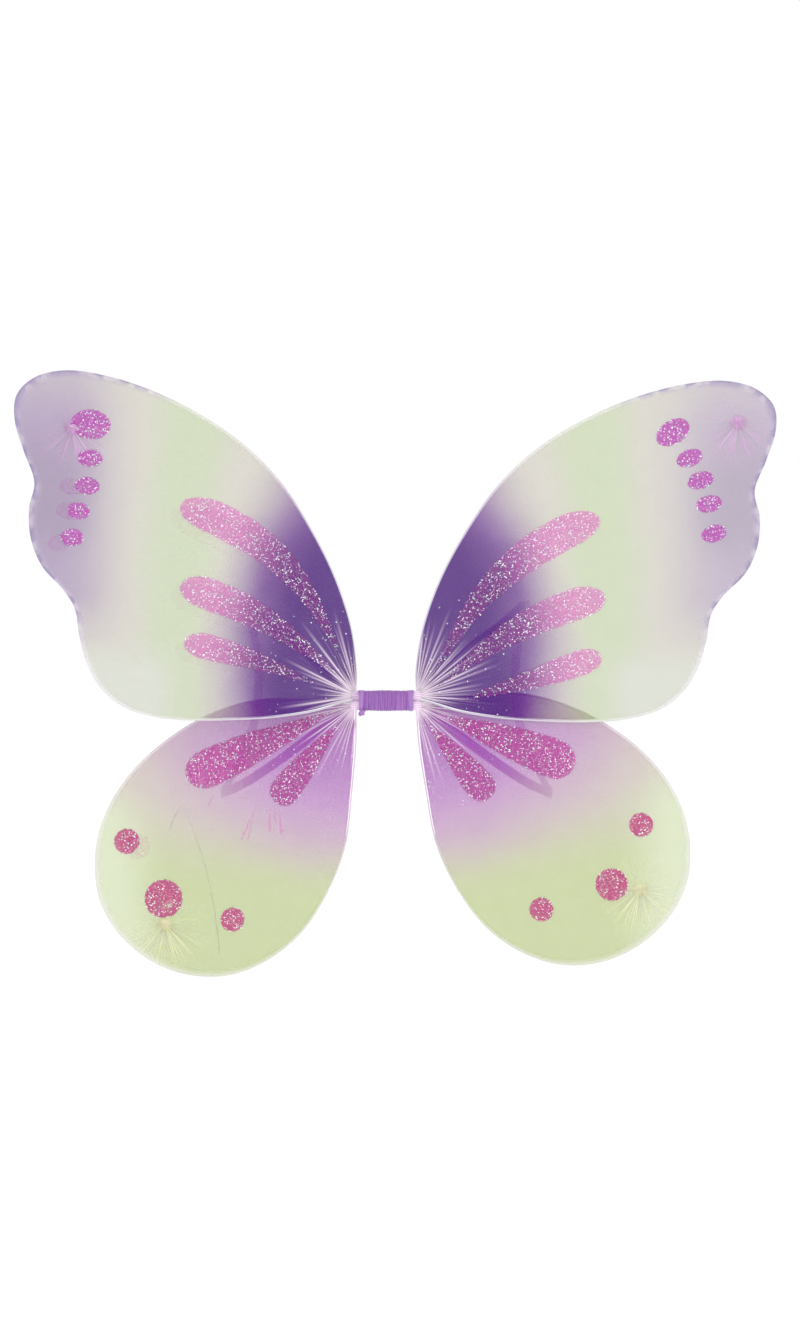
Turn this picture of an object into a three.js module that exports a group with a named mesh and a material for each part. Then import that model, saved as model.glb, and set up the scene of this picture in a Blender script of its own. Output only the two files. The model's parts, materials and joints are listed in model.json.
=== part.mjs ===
// Fairy wings to wear on the back: four sprung wire loops, each inside a dyed nylon sleeve with
// glitter prints, joined by a short bar that is wound with ribbon, and two elastic shoulder straps.
// Millimetres. X runs across the wearer's back, Z is up and +Y points at the wearer, so the face
// that people see looks along -Y. The origin is in the middle of the bar's face against the wearer.
// Each wing is drawn in its own flat coordinates, u outwards from the root and v upwards, and is
// then bowed, rolled and swept as one group about the upright hinge line at the bar's end.
import * as THREE from "three";

// ---- driving dimensions -------------------------------------------------------------------
const bar = { length: 46.8, depth: 14, corner: 4.5, ribbonWall: 1.1 };
const tape = { length: 22, wall: 0.6 };
const wire = { diameter: 2.2, sides: 6, stepsPerPoint: 2, pairSpacing: 3.4, tailOverlap: 23 };
const binding = { length: 5, wall: 0.6, fromBarEnd: 5.4 };
const cloth = { thickness: 1.2 };
const print = { thickness: 0.5, tipHalfWidth: 0.8 };
const knot = { radius: 2.6, waist: 1.3, height: 5.4 };
const strap = { width: 8, thickness: 1, tuck: 4.8, steps: 50 };
const gap = 0.3; // between pieces that touch
const hingeClearance = 2.2; // from the bar's end to the line that a side's wings fold about
const wireStart = 1.3; // how far the loops' ends reach back from that line towards the bar
const planeSpacing = 5; // between an upper wing and the lower wing that it passes in front of
const planeRamp = 8; // the length over which the wires spread into those two planes

const wireRadius = wire.diameter / 2;
const bindingHalf = wireRadius + gap + binding.wall;
// The upper and the lower wing's wire pairs lie one above the other, each in its own binding.
const rootSpacing = 2 * bindingHalf + wire.pairSpacing + gap;
// The left and the right wires lie side by side where they overlap in the bar.
const sideOffset = wire.diameter + 2 * gap;
// The bar is as high as the four wires, with the tape and the ribbon round them.
const stackHalf = (rootSpacing + wire.pairSpacing) / 2 + wireRadius;
const barHalf = { height: stackHalf + gap + tape.wall + gap + bar.ribbonWall, depth: bar.depth / 2 };
const barMiddle = -barHalf.depth;
const hingeX = bar.length / 2 + hingeClearance;

// ---- the two loop shapes, u and v from the root's middle, once round from the upper wire end ----
// reach is how far a loop goes out from its root. Its points, and the places and sizes of the
// prints on it, are drawn for drawnReach and grow with reach.
const shapes = {
  upper: {
    reach: 310,
    drawnReach: 310,
    bow: 14,
    rows: 4,
    sleeveFrom: 12,
    sleeveTo: 20,
    neck: [[8, 5], [9.5, -0.8]],
    points: [
      [1.4, 7], [1.2, 20], [4.5, 44], [12, 72], [27, 108], [48, 144], [73, 178], [106, 208],
      [146, 232], [190, 250], [232, 260], [266, 262], [291, 255], [306, 240], [307, 220],
      [299, 196], [289, 170], [293, 148], [291, 124], [281, 102], [262, 83], [252, 68],
      [247, 44], [240, 22], [228, 3], [210, -11], [184, -19], [148, -22], [108, -21], [70, -18],
      [38, -12.5], [14, -5.2],
    ],
  },
  lower: {
    reach: 235,
    drawnReach: 235,
    bow: 8,
    rows: 3,
    sleeveFrom: 20,
    sleeveTo: 12,
    neck: [[9.5, 0.8], [8, -5]],
    points: [
      [14, 3.2], [42, 6.5], [74, 10], [104, 7], [136, -3], [168, -20], [196, -42], [217, -68],
      [229, -94], [233.5, -122], [231, -148], [219, -174], [194, -200], [162, -216], [128, -220],
      [96, -212], [64, -192], [38, -160], [18.5, -120], [9, -72], [3.5, -36], [1.4, -7],
    ],
  },
};

// ---- the four wings: how each is bent by hand, where its sleeve is gathered, and its prints ----
// A drop is [far u, far v, near u, near v, width, bulge upwards]; an oval is [degrees that its
// outer end is turned up, u, v, length, height].
const wings = [
  {
    name: "left_upper", side: -1, shape: shapes.upper, sweep: 21, roll: 1.3, star: [259, 216],
    drops: [[162, 159, 12, 26, 31, 25], [161, 91, 14, 14, 28, 10], [157, 43, 36, 9, 22, 3]],
    ovals: [[0, 243, 220, 35, 25], [0, 243, 192, 22, 15], [0, 245, 169, 22, 15],
      [0, 252, 148, 20, 15], [0, 257, 126, 20, 15]],
  },
  {
    name: "right_upper", side: 1, shape: shapes.upper, sweep: 8, roll: 0.5, star: [277, 228],
    drops: [[158, 152, 14, 14, 31, 21], [163, 85, 18, 7, 28, 10], [160, 33, 38, -4, 22, -1]],
    ovals: [[30, 222, 221, 31, 21], [20, 236, 199, 23, 15], [15, 245, 180, 23, 15],
      [10, 252, 160, 22, 15], [15, 256, 135, 22, 15]],
  },
  {
    name: "left_lower", side: -1, shape: shapes.lower, sweep: 13, roll: -4, star: [178, -173],
    drops: [[151, -51, 21, -4, 33, 0], [76, -78, 15, -13, 26, 0]],
    ovals: [[0, 206, -100, 22, 22], [0, 178, -151, 33, 33], [0, 120, -174, 21, 21]],
  },
  {
    name: "right_lower", side: 1, shape: shapes.lower, sweep: 8, roll: 0, star: [192, -156],
    drops: [[136, -52, 20, -8, 34, 0], [64, -79, 10, -15, 26, 0]],
    ovals: [[0, 193, -101, 21, 21], [0, 168, -152, 28, 28], [0, 108, -174, 21, 21]],
  },
];

// One shoulder strap's route on the wearer's right, out of the bar's end, up the back, over the
// shoulder, down the front and back under the arm: x, y, z, then the way its outer face looks.
// Its two ends are tucked into the bar's end, one in front of the other.
const barEnd = bar.length / 2;
const upperTuck = -(bar.ribbonWall + gap + strap.thickness / 2);
const lowerTuck = upperTuck - strap.thickness - gap;
const strapRoute = [
  [barEnd - strap.tuck, upperTuck, 0, 0, -1, 0], [barEnd + 1.4, upperTuck, 0.2, 0, -1, 0],
  [barEnd + 4.8, upperTuck + 1.3, 2.4, 0, -1, 0], [barEnd + 9, 0.8, 7, 0, -1, 0],
  [44, 1.4, 17, 0, -1, 0], [74, 2.6, 46, 0, -1, 0], [100, 8, 66, 0, -0.9, 0.4],
  [115, 28, 80, 0, -0.4, 0.9], [121, 55, 86, 0, 0, 1], [123, 85, 84, 0, 0.3, 1],
  [122, 112, 72, 0, 0.8, 0.6], [118, 130, 48, 0, 1, 0.15], [116, 138, 15, 0, 1, 0],
  [120, 138, -20, 0, 1, 0], [130, 128, -52, 0.5, 0.8, 0], [141, 104, -74, 0.9, 0.4, 0],
  [146, 72, -82, 1, 0, 0], [140, 38, -80, 0.8, -0.6, 0], [120, 14, -70, 0.3, -1, 0],
  [90, 4, -50, 0, -1, 0], [46, 1.6, -17, 0, -1, 0], [barEnd + 9, -0.5, -7, 0, -1, 0],
  [barEnd + 4.8, lowerTuck + 1, -2.4, 0, -1, 0], [barEnd + 1.4, lowerTuck, -0.2, 0, -1, 0],
  [barEnd - strap.tuck, lowerTuck, 0, 0, -1, 0],
];

// ---- materials ------------------------------------------------------------------------------
const material = (color, roughness, metalness = 0) =>
  new THREE.MeshStandardMaterial({ color, roughness, metalness });
const finishes = {
  wire: material(0xf2eef4, 0.35, 0.2),
  upperNylon: material(0xb9a6cf, 0.7),
  lowerNylon: material(0xcdb2cc, 0.7),
  glitter: material(0xc2479f, 0.4, 0.3),
  ribbon: material(0x8a52a3, 0.6),
  tape: material(0xe8e4da, 0.8),
  thread: material(0xded2e6, 0.8),
  elastic: material(0xf4f1f5, 0.75),
};

// ---- helpers --------------------------------------------------------------------------------
/** Turns a closed geometry's triangles over if they face inwards. */
function faceOutward(geometry) {
  const place = geometry.attributes.position;
  const index = geometry.index.array;
  const corner = [0, 1, 2].map(() => new THREE.Vector3());
  let volume = 0;
  for (let i = 0; i < index.length; i += 3) {
    corner.forEach((c, k) => c.fromBufferAttribute(place, index[i + k]));
    volume += corner[0].dot(corner[1].cross(corner[2]));
  }
  if (volume < 0) {
    for (let i = 0; i < index.length; i += 3) {
      [index[i + 1], index[i + 2]] = [index[i + 2], index[i + 1]];
    }
  }
  return geometry;
}

/** A closed slab between two equal grids of points, front and back, of columns by rows cells. */
function slab(columns, rows, front, back) {
  const across = rows + 1;
  const layer = (columns + 1) * across;
  const position = [...front, ...back].flat();
  const index = [];
  const quad = (a, b, c, d) => index.push(a, b, c, a, c, d);
  for (let i = 0; i < columns; i += 1) {
    for (let j = 0; j < rows; j += 1) {
      const a = i * across + j;
      quad(a, a + across, a + across + 1, a + 1);
      quad(a + layer, a + layer + 1, a + layer + across + 1, a + layer + across);
    }
    const near = i * across;
    const far = near + rows;
    quad(near, near + layer, near + layer + across, near + across);
    quad(far, far + across, far + across + layer, far + layer);
  }
  for (let j = 0; j < rows; j += 1) {
    const last = columns * across + j;
    quad(j, j + 1, j + 1 + layer, j + layer);
    quad(last, last + layer, last + layer + 1, last + 1);
  }
  const geometry = new THREE.BufferGeometry();
  geometry.setAttribute("position", new THREE.Float32BufferAttribute(position, 3));
  geometry.setIndex(index);
  return faceOutward(geometry);
}

/** The polygon that a round wire's section is drawn as. */
function wireSection() {
  const points = Array.from({ length: wire.sides }, (_, k) => {
    const turn = ((k + 0.5) / wire.sides) * 2 * Math.PI;
    return new THREE.Vector2(wireRadius * Math.cos(turn), wireRadius * Math.sin(turn));
  });
  return new THREE.Shape(points);
}

/** A rounded rectangle about the middle of the bar's section; the shape's x is the part's -Z. */
function roundedOutline(target, halfHeight, halfDepth, corner) {
  const sides = [[1, 1, 0], [-1, 1, 1], [-1, -1, 2], [1, -1, 3]];
  for (const [x, y, quarter] of sides) {
    const from = (quarter * Math.PI) / 2;
    const middle = [x * (halfHeight - corner), y * (halfDepth - corner)];
    target.absarc(middle[0], middle[1], corner, from, from + Math.PI / 2, false);
  }
  target.closePath();
  return target;
}

/** A tube along X whose section is a rounded rectangle, centred at y, z. */
function ringAlongX(length, halfHeight, halfDepth, corner, wall, y, z) {
  const outline = roundedOutline(new THREE.Shape(), halfHeight, halfDepth, corner);
  const hole = [halfHeight - wall, halfDepth - wall, corner - wall];
  outline.holes.push(roundedOutline(new THREE.Path(), ...hole));
  const settings = { depth: length, bevelEnabled: false, curveSegments: 5 };
  const geometry = new THREE.ExtrudeGeometry(outline, settings);
  geometry.translate(0, 0, -length / 2);
  geometry.rotateY(Math.PI / 2);
  return geometry.translate(0, y, z);
}

// ---- the wings' surface -----------------------------------------------------------------------
/** Lengths that are drawn for a shape's drawnReach, at its reach. */
const grown = (shape, lengths) => lengths.map((x) => (x * shape.reach) / shape.drawnReach);

/** How far a wing's surface stands from its hinge plane at u: its plane's step and its bow. */
function depthAt(wing, u) {
  const along = THREE.MathUtils.clamp(u / planeRamp, 0, 1);
  const step = along * along * (3 - 2 * along) * (planeSpacing / 2);
  const plane = wing.shape === shapes.upper ? -step : step;
  return plane - wing.shape.bow * (u / wing.shape.reach) ** 2;
}

/** Points, [u, v], along a loop's wire from its upper end to its lower end, closer at its bends. */
function loopPoints(shape) {
  const half = wire.pairSpacing / 2;
  const [topRise, bottomFall] = shape === shapes.upper ? [0.9, 0] : [0, 0.9];
  const route = [
    [-wireStart, half], [1.2, half + topRise],
    ...shape.points.map((point) => grown(shape, point)),
    [1.2, -half - bottomFall], [-wireStart, -half],
  ];
  const flat = new THREE.CatmullRomCurve3(route.map(([u, v]) => new THREE.Vector3(u, 0, v)));
  return flat.getPoints((route.length - 1) * wire.stepsPerPoint).map((p) => [p.x, p.z]);
}

/** A smooth curve whose steps go from point to point, so that a bend keeps its own points. */
class StepwiseCurve extends THREE.CatmullRomCurve3 {
  getPointAt(t, target) {
    return this.getPoint(t, target);
  }

  getTangentAt(t, target) {
    return this.getTangent(t, target);
  }
}

/** The wire loop: the wire's section carried round the loop's points. */
function wireLoop(wing) {
  const path = loopPoints(wing.shape).map(
    ([u, v]) => new THREE.Vector3(wing.side * u, depthAt(wing, u), v),
  );
  return new THREE.ExtrudeGeometry(wireSection(), {
    steps: path.length - 1,
    extrudePath: new StepwiseCurve(path),
  });
}

/** A slab on the wing's surface; place gives [u, v] for 0..1, 0..1, and the depths are from it. */
function surfaceSlab(wing, columns, rows, place, frontDepth, backDepth) {
  const layer = (depth) => {
    const points = [];
    for (let i = 0; i <= columns; i += 1) {
      for (let j = 0; j <= rows; j += 1) {
        const [u, v] = place(i / columns, j / rows);
        points.push([wing.side * u, depthAt(wing, u) + depth, v]);
      }
    }
    return points;
  };
  return slab(columns, rows, layer(frontDepth), layer(backDepth));
}

/** The nylon between the wires, as a fan of cells from the neck at the root to inside the wire. */
function sleeve(wing) {
  const { shape } = wing;
  const loop = loopPoints(shape);
  const inset = wireRadius + gap;
  const rim = loop.map(([u, v], k) => {
    const before = loop[Math.max(k - 1, 0)];
    const after = loop[Math.min(k + 1, loop.length - 1)];
    const along = new THREE.Vector2(after[0] - before[0], after[1] - before[1]).normalize();
    return [u + along.y * inset, v - along.x * inset];
  });
  const fromRoot = ([u, v]) => Math.hypot(u, v);
  const first = loop.findIndex((p) => fromRoot(p) > shape.sleeveFrom);
  const last = loop.findLastIndex((p) => fromRoot(p) > shape.sleeveTo);
  const cells = last - first;
  const place = (a, b) => {
    const edge = rim[first + Math.round(a * cells)];
    const [top, bottom] = shape.neck;
    const neck = [0, 1].map((k) => top[k] + a * (bottom[k] - top[k]));
    return [0, 1].map((k) => neck[k] + b * (edge[k] - neck[k]));
  };
  return surfaceSlab(wing, cells, shape.rows, place, -cloth.thickness / 2, cloth.thickness / 2);
}

/** A glitter print: a thin plate in front of the nylon, w(a) wide at each a along its length. */
function printPlate(wing, from, to, halfWidth, bulge, columns) {
  const along = [to[0] - from[0], to[1] - from[1]];
  const length = Math.hypot(...along);
  const across = [along[1] / length, -along[0] / length];
  const place = (column, b) => {
    const a = (1 - Math.cos(Math.PI * column)) / 2; // closer together at the two ends
    const aside = (b * 2 - 1) * halfWidth(a) + bulge * Math.sin(Math.PI * a);
    return [0, 1].map((k) => from[k] + a * along[k] + aside * across[k]);
  };
  const back = -(cloth.thickness / 2 + gap);
  return surfaceSlab(wing, columns, 2, place, back - print.thickness, back);
}

/** A drop: round and widest near its far end, and tapering to a point near the root. */
function drop(wing, sizes) {
  const [farU, farV, nearU, nearV, width, bulge] = grown(wing.shape, sizes);
  const halfWidth = (a) => Math.max(
    print.tipHalfWidth,
    (width / 2) * Math.sqrt(1 - (1 - Math.min(a / 0.14, 1)) ** 2)
      * (1 - (Math.max(a - 0.2, 0) / 0.8) ** 1.5),
  );
  return printPlate(wing, [farU, farV], [nearU, nearV], halfWidth, bulge, 9);
}

/** An oval: as long as it is given, turned up at its outer end. */
function oval(wing, [turned, ...sizes]) {
  const [u, v, length, height] = grown(wing.shape, sizes);
  const turn = THREE.MathUtils.degToRad(turned);
  const reach = [(length / 2) * Math.cos(turn), (length / 2) * Math.sin(turn)];
  const halfWidth = (a) => Math.max(
    print.tipHalfWidth, (height / 2) * Math.sqrt(1 - (2 * a - 1) ** 2));
  const ends = [[u - reach[0], v - reach[1]], [u + reach[0], v + reach[1]]];
  return printPlate(wing, ...ends, halfWidth, 0, 6);
}

/** The knot of gathered nylon and thread that closes a sleeve's toe, on the wearer's side. */
function toeKnot(wing) {
  const { radius, waist, height } = knot;
  const profile = [
    [0, 0], [radius * 0.8, 0], [waist, height * 0.3], [waist, height * 0.45],
    [radius, height * 0.65], [radius * 0.7, height * 0.95], [0, height],
  ].map(([r, y]) => new THREE.Vector2(r, y));
  const geometry = new THREE.LatheGeometry(profile, 10);
  const [u, v] = grown(wing.shape, wing.star);
  geometry.translate(wing.side * u, depthAt(wing, u) + cloth.thickness / 2 + gap, v);
  return geometry;
}

// ---- the bar ----------------------------------------------------------------------------------
const sideMiddle = (side) => barMiddle - (side * sideOffset) / 2;
const rootHeight = (wing) => ((wing.shape === shapes.upper ? 1 : -1) * rootSpacing) / 2;

/** One straight wire end inside the bar, from the bar's end past its middle. */
function wireTail(wing, pairSide) {
  const length = bar.length / 2 + tape.length / 2 + (wire.tailOverlap - tape.length) / 2;
  const geometry = new THREE.CylinderGeometry(wireRadius, wireRadius, length, 8);
  geometry.rotateZ(Math.PI / 2);
  const x = wing.side * (bar.length / 2 - length / 2);
  const z = rootHeight(wing) + (pairSide * wire.pairSpacing) / 2;
  return geometry.translate(x, sideMiddle(wing.side), z);
}

/** The thread that binds one wing's gathered nylon and two wire ends, inside the bar. */
function rootBinding(wing) {
  const x = wing.side * (bar.length / 2 - binding.fromBarEnd - binding.length / 2);
  const tall = bindingHalf + wire.pairSpacing / 2;
  const place = [sideMiddle(wing.side), rootHeight(wing)];
  const ring = ringAlongX(binding.length, tall, bindingHalf, bindingHalf, binding.wall, ...place);
  return ring.translate(x, 0, 0);
}

/** A shoulder strap: a flat band carried along its route, with its flat face turned as given. */
function shoulderStrap(side) {
  const curve = (from) => new THREE.CatmullRomCurve3(
    strapRoute.map((p) => new THREE.Vector3(side * p[from], p[from + 1], p[from + 2])));
  const route = curve(0);
  const facing = curve(3);
  const grids = [1, -1].map((face) => {
    const points = [];
    for (let k = 0; k <= strap.steps; k += 1) {
      const t = k / strap.steps;
      const along = route.getTangent(t);
      const across = new THREE.Vector3().crossVectors(along, facing.getPoint(t)).normalize();
      const out = new THREE.Vector3().crossVectors(across, along);
      for (const edge of [-1, 1]) {
        const p = route.getPoint(t).addScaledVector(across, (edge * strap.width) / 2);
        points.push(p.addScaledVector(out, (face * strap.thickness) / 2).toArray());
      }
    }
    return points;
  });
  return slab(strap.steps, 1, ...grids);
}

// ---- the assembly -----------------------------------------------------------------------------
const fairyWings = new THREE.Group();

function add(name, geometry, finish, to = fairyWings) {
  const mesh = new THREE.Mesh(geometry, finish);
  mesh.name = name;
  to.add(mesh);
}

add("centre_wrap", ringAlongX(
  bar.length, barHalf.height, barHalf.depth, bar.corner, bar.ribbonWall, barMiddle, 0,
), finishes.ribbon);
const tapeOut = bar.ribbonWall + gap;
add("core_tape", ringAlongX(
  tape.length, barHalf.height - tapeOut, barHalf.depth - tapeOut, bar.corner - tapeOut, tape.wall,
  barMiddle, 0,
), finishes.tape);
for (const [name, side] of [["left", -1], ["right", 1]]) {
  add(`${name}_strap`, shoulderStrap(side), finishes.elastic);
}

for (const wing of wings) {
  const { name, side } = wing;
  add(`${name}_outer_wire_tail`, wireTail(wing, 1), finishes.wire);
  add(`${name}_inner_wire_tail`, wireTail(wing, -1), finishes.wire);
  add(`${name}_root_binding`, rootBinding(wing), finishes.thread);

  const frame = new THREE.Group();
  frame.position.set(side * hingeX, sideMiddle(side), rootHeight(wing));
  const turned = [wing.roll, wing.sweep].map((angle) => -side * THREE.MathUtils.degToRad(angle));
  frame.rotation.set(0, turned[0], turned[1], "ZYX");
  fairyWings.add(frame);

  const nylon = wing.shape === shapes.upper ? finishes.upperNylon : finishes.lowerNylon;
  add(`${name}_wire`, wireLoop(wing), finishes.wire, frame);
  add(`${name}_sleeve`, sleeve(wing), nylon, frame);
  add(`${name}_toe_knot`, toeKnot(wing), finishes.thread, frame);
  wing.drops.forEach((d, k) => {
    add(`${name}_drop_print_${k + 1}`, drop(wing, d), finishes.glitter, frame);
  });
  wing.ovals.forEach((o, k) => {
    add(`${name}_oval_print_${k + 1}`, oval(wing, o), finishes.glitter, frame);
  });
}

export default fairyWings;
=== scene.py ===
"""Fairy wings to wear on the back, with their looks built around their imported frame.

Four sprung wire loops each carry a stocking of sheer dyed nylon, with glitter printed on the side
that people see. Their gathered roots go into the two ends of a short bar wound with ribbon, and
two flat elastic straps come out of the same ends. Shapes are worked out in millimetres and made in
metres. A wing is drawn in its own coordinates: u outwards from its root, v upwards and depth
towards the wearer; the frame gives the place of each root and of the line that it folds about.
"""

import json
import logging
import math
from collections.abc import Mapping, Sequence
from dataclasses import dataclass, field
from enum import Enum
from functools import cache, cached_property

import bpy
import numpy as np
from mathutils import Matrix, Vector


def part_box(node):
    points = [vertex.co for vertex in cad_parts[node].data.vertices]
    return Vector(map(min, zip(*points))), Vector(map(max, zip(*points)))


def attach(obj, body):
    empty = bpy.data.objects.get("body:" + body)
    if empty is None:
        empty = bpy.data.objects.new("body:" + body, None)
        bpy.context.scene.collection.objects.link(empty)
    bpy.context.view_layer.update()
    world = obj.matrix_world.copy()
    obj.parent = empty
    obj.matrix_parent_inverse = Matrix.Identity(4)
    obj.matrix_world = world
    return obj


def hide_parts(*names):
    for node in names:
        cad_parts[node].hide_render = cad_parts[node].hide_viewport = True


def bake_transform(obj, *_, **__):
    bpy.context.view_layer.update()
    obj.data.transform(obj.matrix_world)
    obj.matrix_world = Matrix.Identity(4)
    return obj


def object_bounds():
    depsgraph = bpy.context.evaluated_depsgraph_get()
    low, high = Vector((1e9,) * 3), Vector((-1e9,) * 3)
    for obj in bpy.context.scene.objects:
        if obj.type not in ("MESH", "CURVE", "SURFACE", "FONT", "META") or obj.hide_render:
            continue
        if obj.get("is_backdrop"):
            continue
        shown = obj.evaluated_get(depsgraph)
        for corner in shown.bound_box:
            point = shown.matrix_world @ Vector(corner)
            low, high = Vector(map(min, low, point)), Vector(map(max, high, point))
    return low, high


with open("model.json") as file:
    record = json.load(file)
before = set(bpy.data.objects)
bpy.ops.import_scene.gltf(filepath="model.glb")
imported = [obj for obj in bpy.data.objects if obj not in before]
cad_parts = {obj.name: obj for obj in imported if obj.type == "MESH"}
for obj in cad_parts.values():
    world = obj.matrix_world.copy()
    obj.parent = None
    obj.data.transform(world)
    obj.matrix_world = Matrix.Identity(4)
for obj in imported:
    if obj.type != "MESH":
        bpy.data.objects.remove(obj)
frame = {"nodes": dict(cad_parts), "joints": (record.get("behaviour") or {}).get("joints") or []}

log = logging.getLogger("fairy_wings")
Array = np.ndarray
Link = object  # a Value, a node's socket, a number or a list of numbers
MM = 0.001


# ---- numbers and curves ---------------------------------------------------------------------
def smooth(value: Array | float, low: float, high: float) -> Array:
    """A soft step: 0 below low, 1 above high, and 3t^2 - 2t^3 of the share t between them.

    Args:
        value: What is compared.
        low: Where the step starts.
        high: Where the step ends.

    Returns:
        The step's height at each value, from 0 to 1.
    """
    share = np.clip((np.asarray(value, float) - low) / (high - low), 0, 1)
    return share * share * (3 - 2 * share)


def through(points: Array, steps: int) -> Array:
    """A smooth line through points: a centripetal Catmull-Rom curve.

    Each stretch between two points is a cubic whose slopes at its ends come from the points
    beside them, weighed by the fourth root of the squared distances between them.

    Args:
        points: The points, one to a row.
        steps: How many parts each stretch is cut into.

    Returns:
        The line's points, the last given point among them.
    """
    given = np.asarray(points, float)
    route = np.vstack([2 * given[0] - given[1], given, 2 * given[-1] - given[-2]])
    knots = np.maximum(np.sum(np.diff(route, axis=0) ** 2, axis=1) ** 0.25, 1e-4)[:, None]
    before, here, there, after = route[:-3], route[1:-2], route[2:-1], route[3:]
    first, middle, last = knots[:-2], knots[1:-1], knots[2:]
    leave = (here - before) / first - (there - before) / (first + middle) + (there - here) / middle
    arrive = (there - here) / middle - (after - here) / (middle + last) + (after - there) / last
    leave, arrive = leave * middle, arrive * middle
    t = (np.arange(steps) / steps)[None, :, None]
    rise = there - here
    square = 3 * rise - 2 * leave - arrive
    cube = leave + arrive - 2 * rise
    line = here[:, None] + leave[:, None] * t + square[:, None] * t**2 + cube[:, None] * t**3
    return np.vstack([line.reshape(-1, given.shape[1]), given[-1]])


def lengths_along(line: Array) -> Array:
    """The distance from a line's start to each of its points."""
    return np.concatenate([[0.0], np.cumsum(np.linalg.norm(np.diff(line, axis=0), axis=1))])


def resampled(line: Array, measure: Array, count: int) -> Array:
    """count points of a line, evenly spaced in a measure that rises along it."""
    at = np.linspace(measure[0], measure[-1], count)
    return np.stack([np.interp(at, measure, line[:, k]) for k in range(line.shape[1])], axis=1)


def unit(vectors: Array) -> Array:
    """Vectors with their length made one."""
    return vectors / np.maximum(np.linalg.norm(vectors, axis=-1, keepdims=True), 1e-9)


# ---- meshes -----------------------------------------------------------------------------------
@dataclass
class Skin:
    """A closed profile carried along a path, as a grid of points with both ends capped.

    Attributes:
        name: The piece's name.
        grid: Points in metres, stations along the path by places round the profile.
        maps: UV maps by name, two numbers for each point of the grid.
        marks: Attributes by name, one number for each point of the grid.
        smooth_faces: Whether the faces are shaded as one smooth surface.
    """

    name: str
    grid: Array
    maps: Mapping[str, Array] = field(default_factory=dict)
    marks: Mapping[str, Array] = field(default_factory=dict)
    smooth_faces: bool = True

    def points_with_caps(self, values: Array) -> Array:
        """Grid values as one list, followed by the mean of the first and of the last station.

        Args:
            values: One value, or a row of values, for each point of the grid.

        Returns:
            One row for each point of the closed skin.
        """
        width = values.shape[-1] if values.ndim == 3 else 1
        flat = values.reshape(-1, width)
        ends = [values[k].reshape(-1, width).mean(axis=0)[None] for k in (0, -1)]
        return np.vstack([flat, *ends])

    def faces(self) -> Array:
        """Triangles of the closed skin: two for each cell, and a fan for each cap.

        Returns:
            Three point numbers to a row.
        """
        stations, around = self.grid.shape[:2]
        station, place = np.meshgrid(np.arange(stations - 1), np.arange(around), indexing="ij")
        beyond = (place + 1) % around
        a, b = station * around + place, (station + 1) * around + place
        c, d = (station + 1) * around + beyond, station * around + beyond
        cells = [np.stack([a, b, c], axis=-1), np.stack([a, c, d], axis=-1)]
        ring = np.arange(around)
        following = (ring + 1) % around
        near, far = stations * around, stations * around + 1
        last = (stations - 1) * around
        caps = [
            np.stack([np.full(around, near), ring, following], axis=-1),
            np.stack([np.full(around, far), last + following, last + ring], axis=-1),
        ]
        return np.vstack([part.reshape(-1, 3) for part in (*cells, *caps)])

    def build(self) -> bpy.types.Object:
        """Makes the piece, turned outwards, with its maps and marks.

        Returns:
            The new object, at the origin.
        """
        points = self.points_with_caps(self.grid)
        maps = {name: self.points_with_caps(uv) for name, uv in self.maps.items()}
        marks = {name: self.points_with_caps(mark)[:, 0] for name, mark in self.marks.items()}
        return made_object(self.name, points, self.faces(), maps, marks, self.smooth_faces)


def made_object(
    name: str,
    points: Array,
    triangles: Array,
    maps: Mapping[str, Array],
    marks: Mapping[str, Array],
    smooth_faces: bool,
) -> bpy.types.Object:
    """A mesh object whose triangles look outwards.

    Six times the volume is the sum of each triangle's corner products a.(b x c); where that is
    below zero, every triangle is turned over.

    Args:
        name: The object's name.
        points: Its points, in metres.
        triangles: Three point numbers to a row.
        maps: UV maps by name, two numbers to a point.
        marks: Attributes by name, one number to a point.
        smooth_faces: Whether the faces are shaded smooth.

    Returns:
        The object, linked to the scene.
    """
    a, b, c = (points[triangles[:, k]] for k in range(3))
    if np.einsum("ij,ij->", a, np.cross(b, c)) < 0:
        triangles = triangles[:, ::-1]
    mesh = bpy.data.meshes.new(name)
    mesh.vertices.add(len(points))
    mesh.vertices.foreach_set("co", points.astype(np.float32).ravel())
    mesh.loops.add(triangles.size)
    mesh.loops.foreach_set("vertex_index", triangles.astype(np.int32).ravel())
    mesh.polygons.add(len(triangles))
    mesh.polygons.foreach_set("loop_start", np.arange(0, triangles.size, 3, dtype=np.int32))
    mesh.update(calc_edges=True)
    mesh.polygons.foreach_set("use_smooth", np.full(len(triangles), smooth_faces))
    corners = triangles.ravel()
    for map_name, uv in maps.items():
        layer = mesh.uv_layers.new(name=map_name)
        layer.data.foreach_set("uv", uv[corners].astype(np.float32).ravel())
    for mark_name, values in marks.items():
        mark = mesh.attributes.new(mark_name, "FLOAT", "POINT")
        mark.data.foreach_set("value", values.astype(np.float32))
    mesh.validate()
    made = bpy.data.objects.new(name, mesh)
    bpy.context.scene.collection.objects.link(made)
    return made


def dressed(piece: bpy.types.Object, finish: "Finish", slot: str) -> bpy.types.Object:
    """Gives a piece its finish and logs the record's slot that the finish belongs to.

    Args:
        piece: The piece, which loses any finish that it had.
        finish: What it is dressed in.
        slot: The slot's name.

    Returns:
        The same piece.
    """
    piece.data.materials.clear()
    piece.data.materials.append(finish.material())
    log.info("%s: %d faces, %s", piece.name, len(piece.data.polygons), slot)
    return piece


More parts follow.
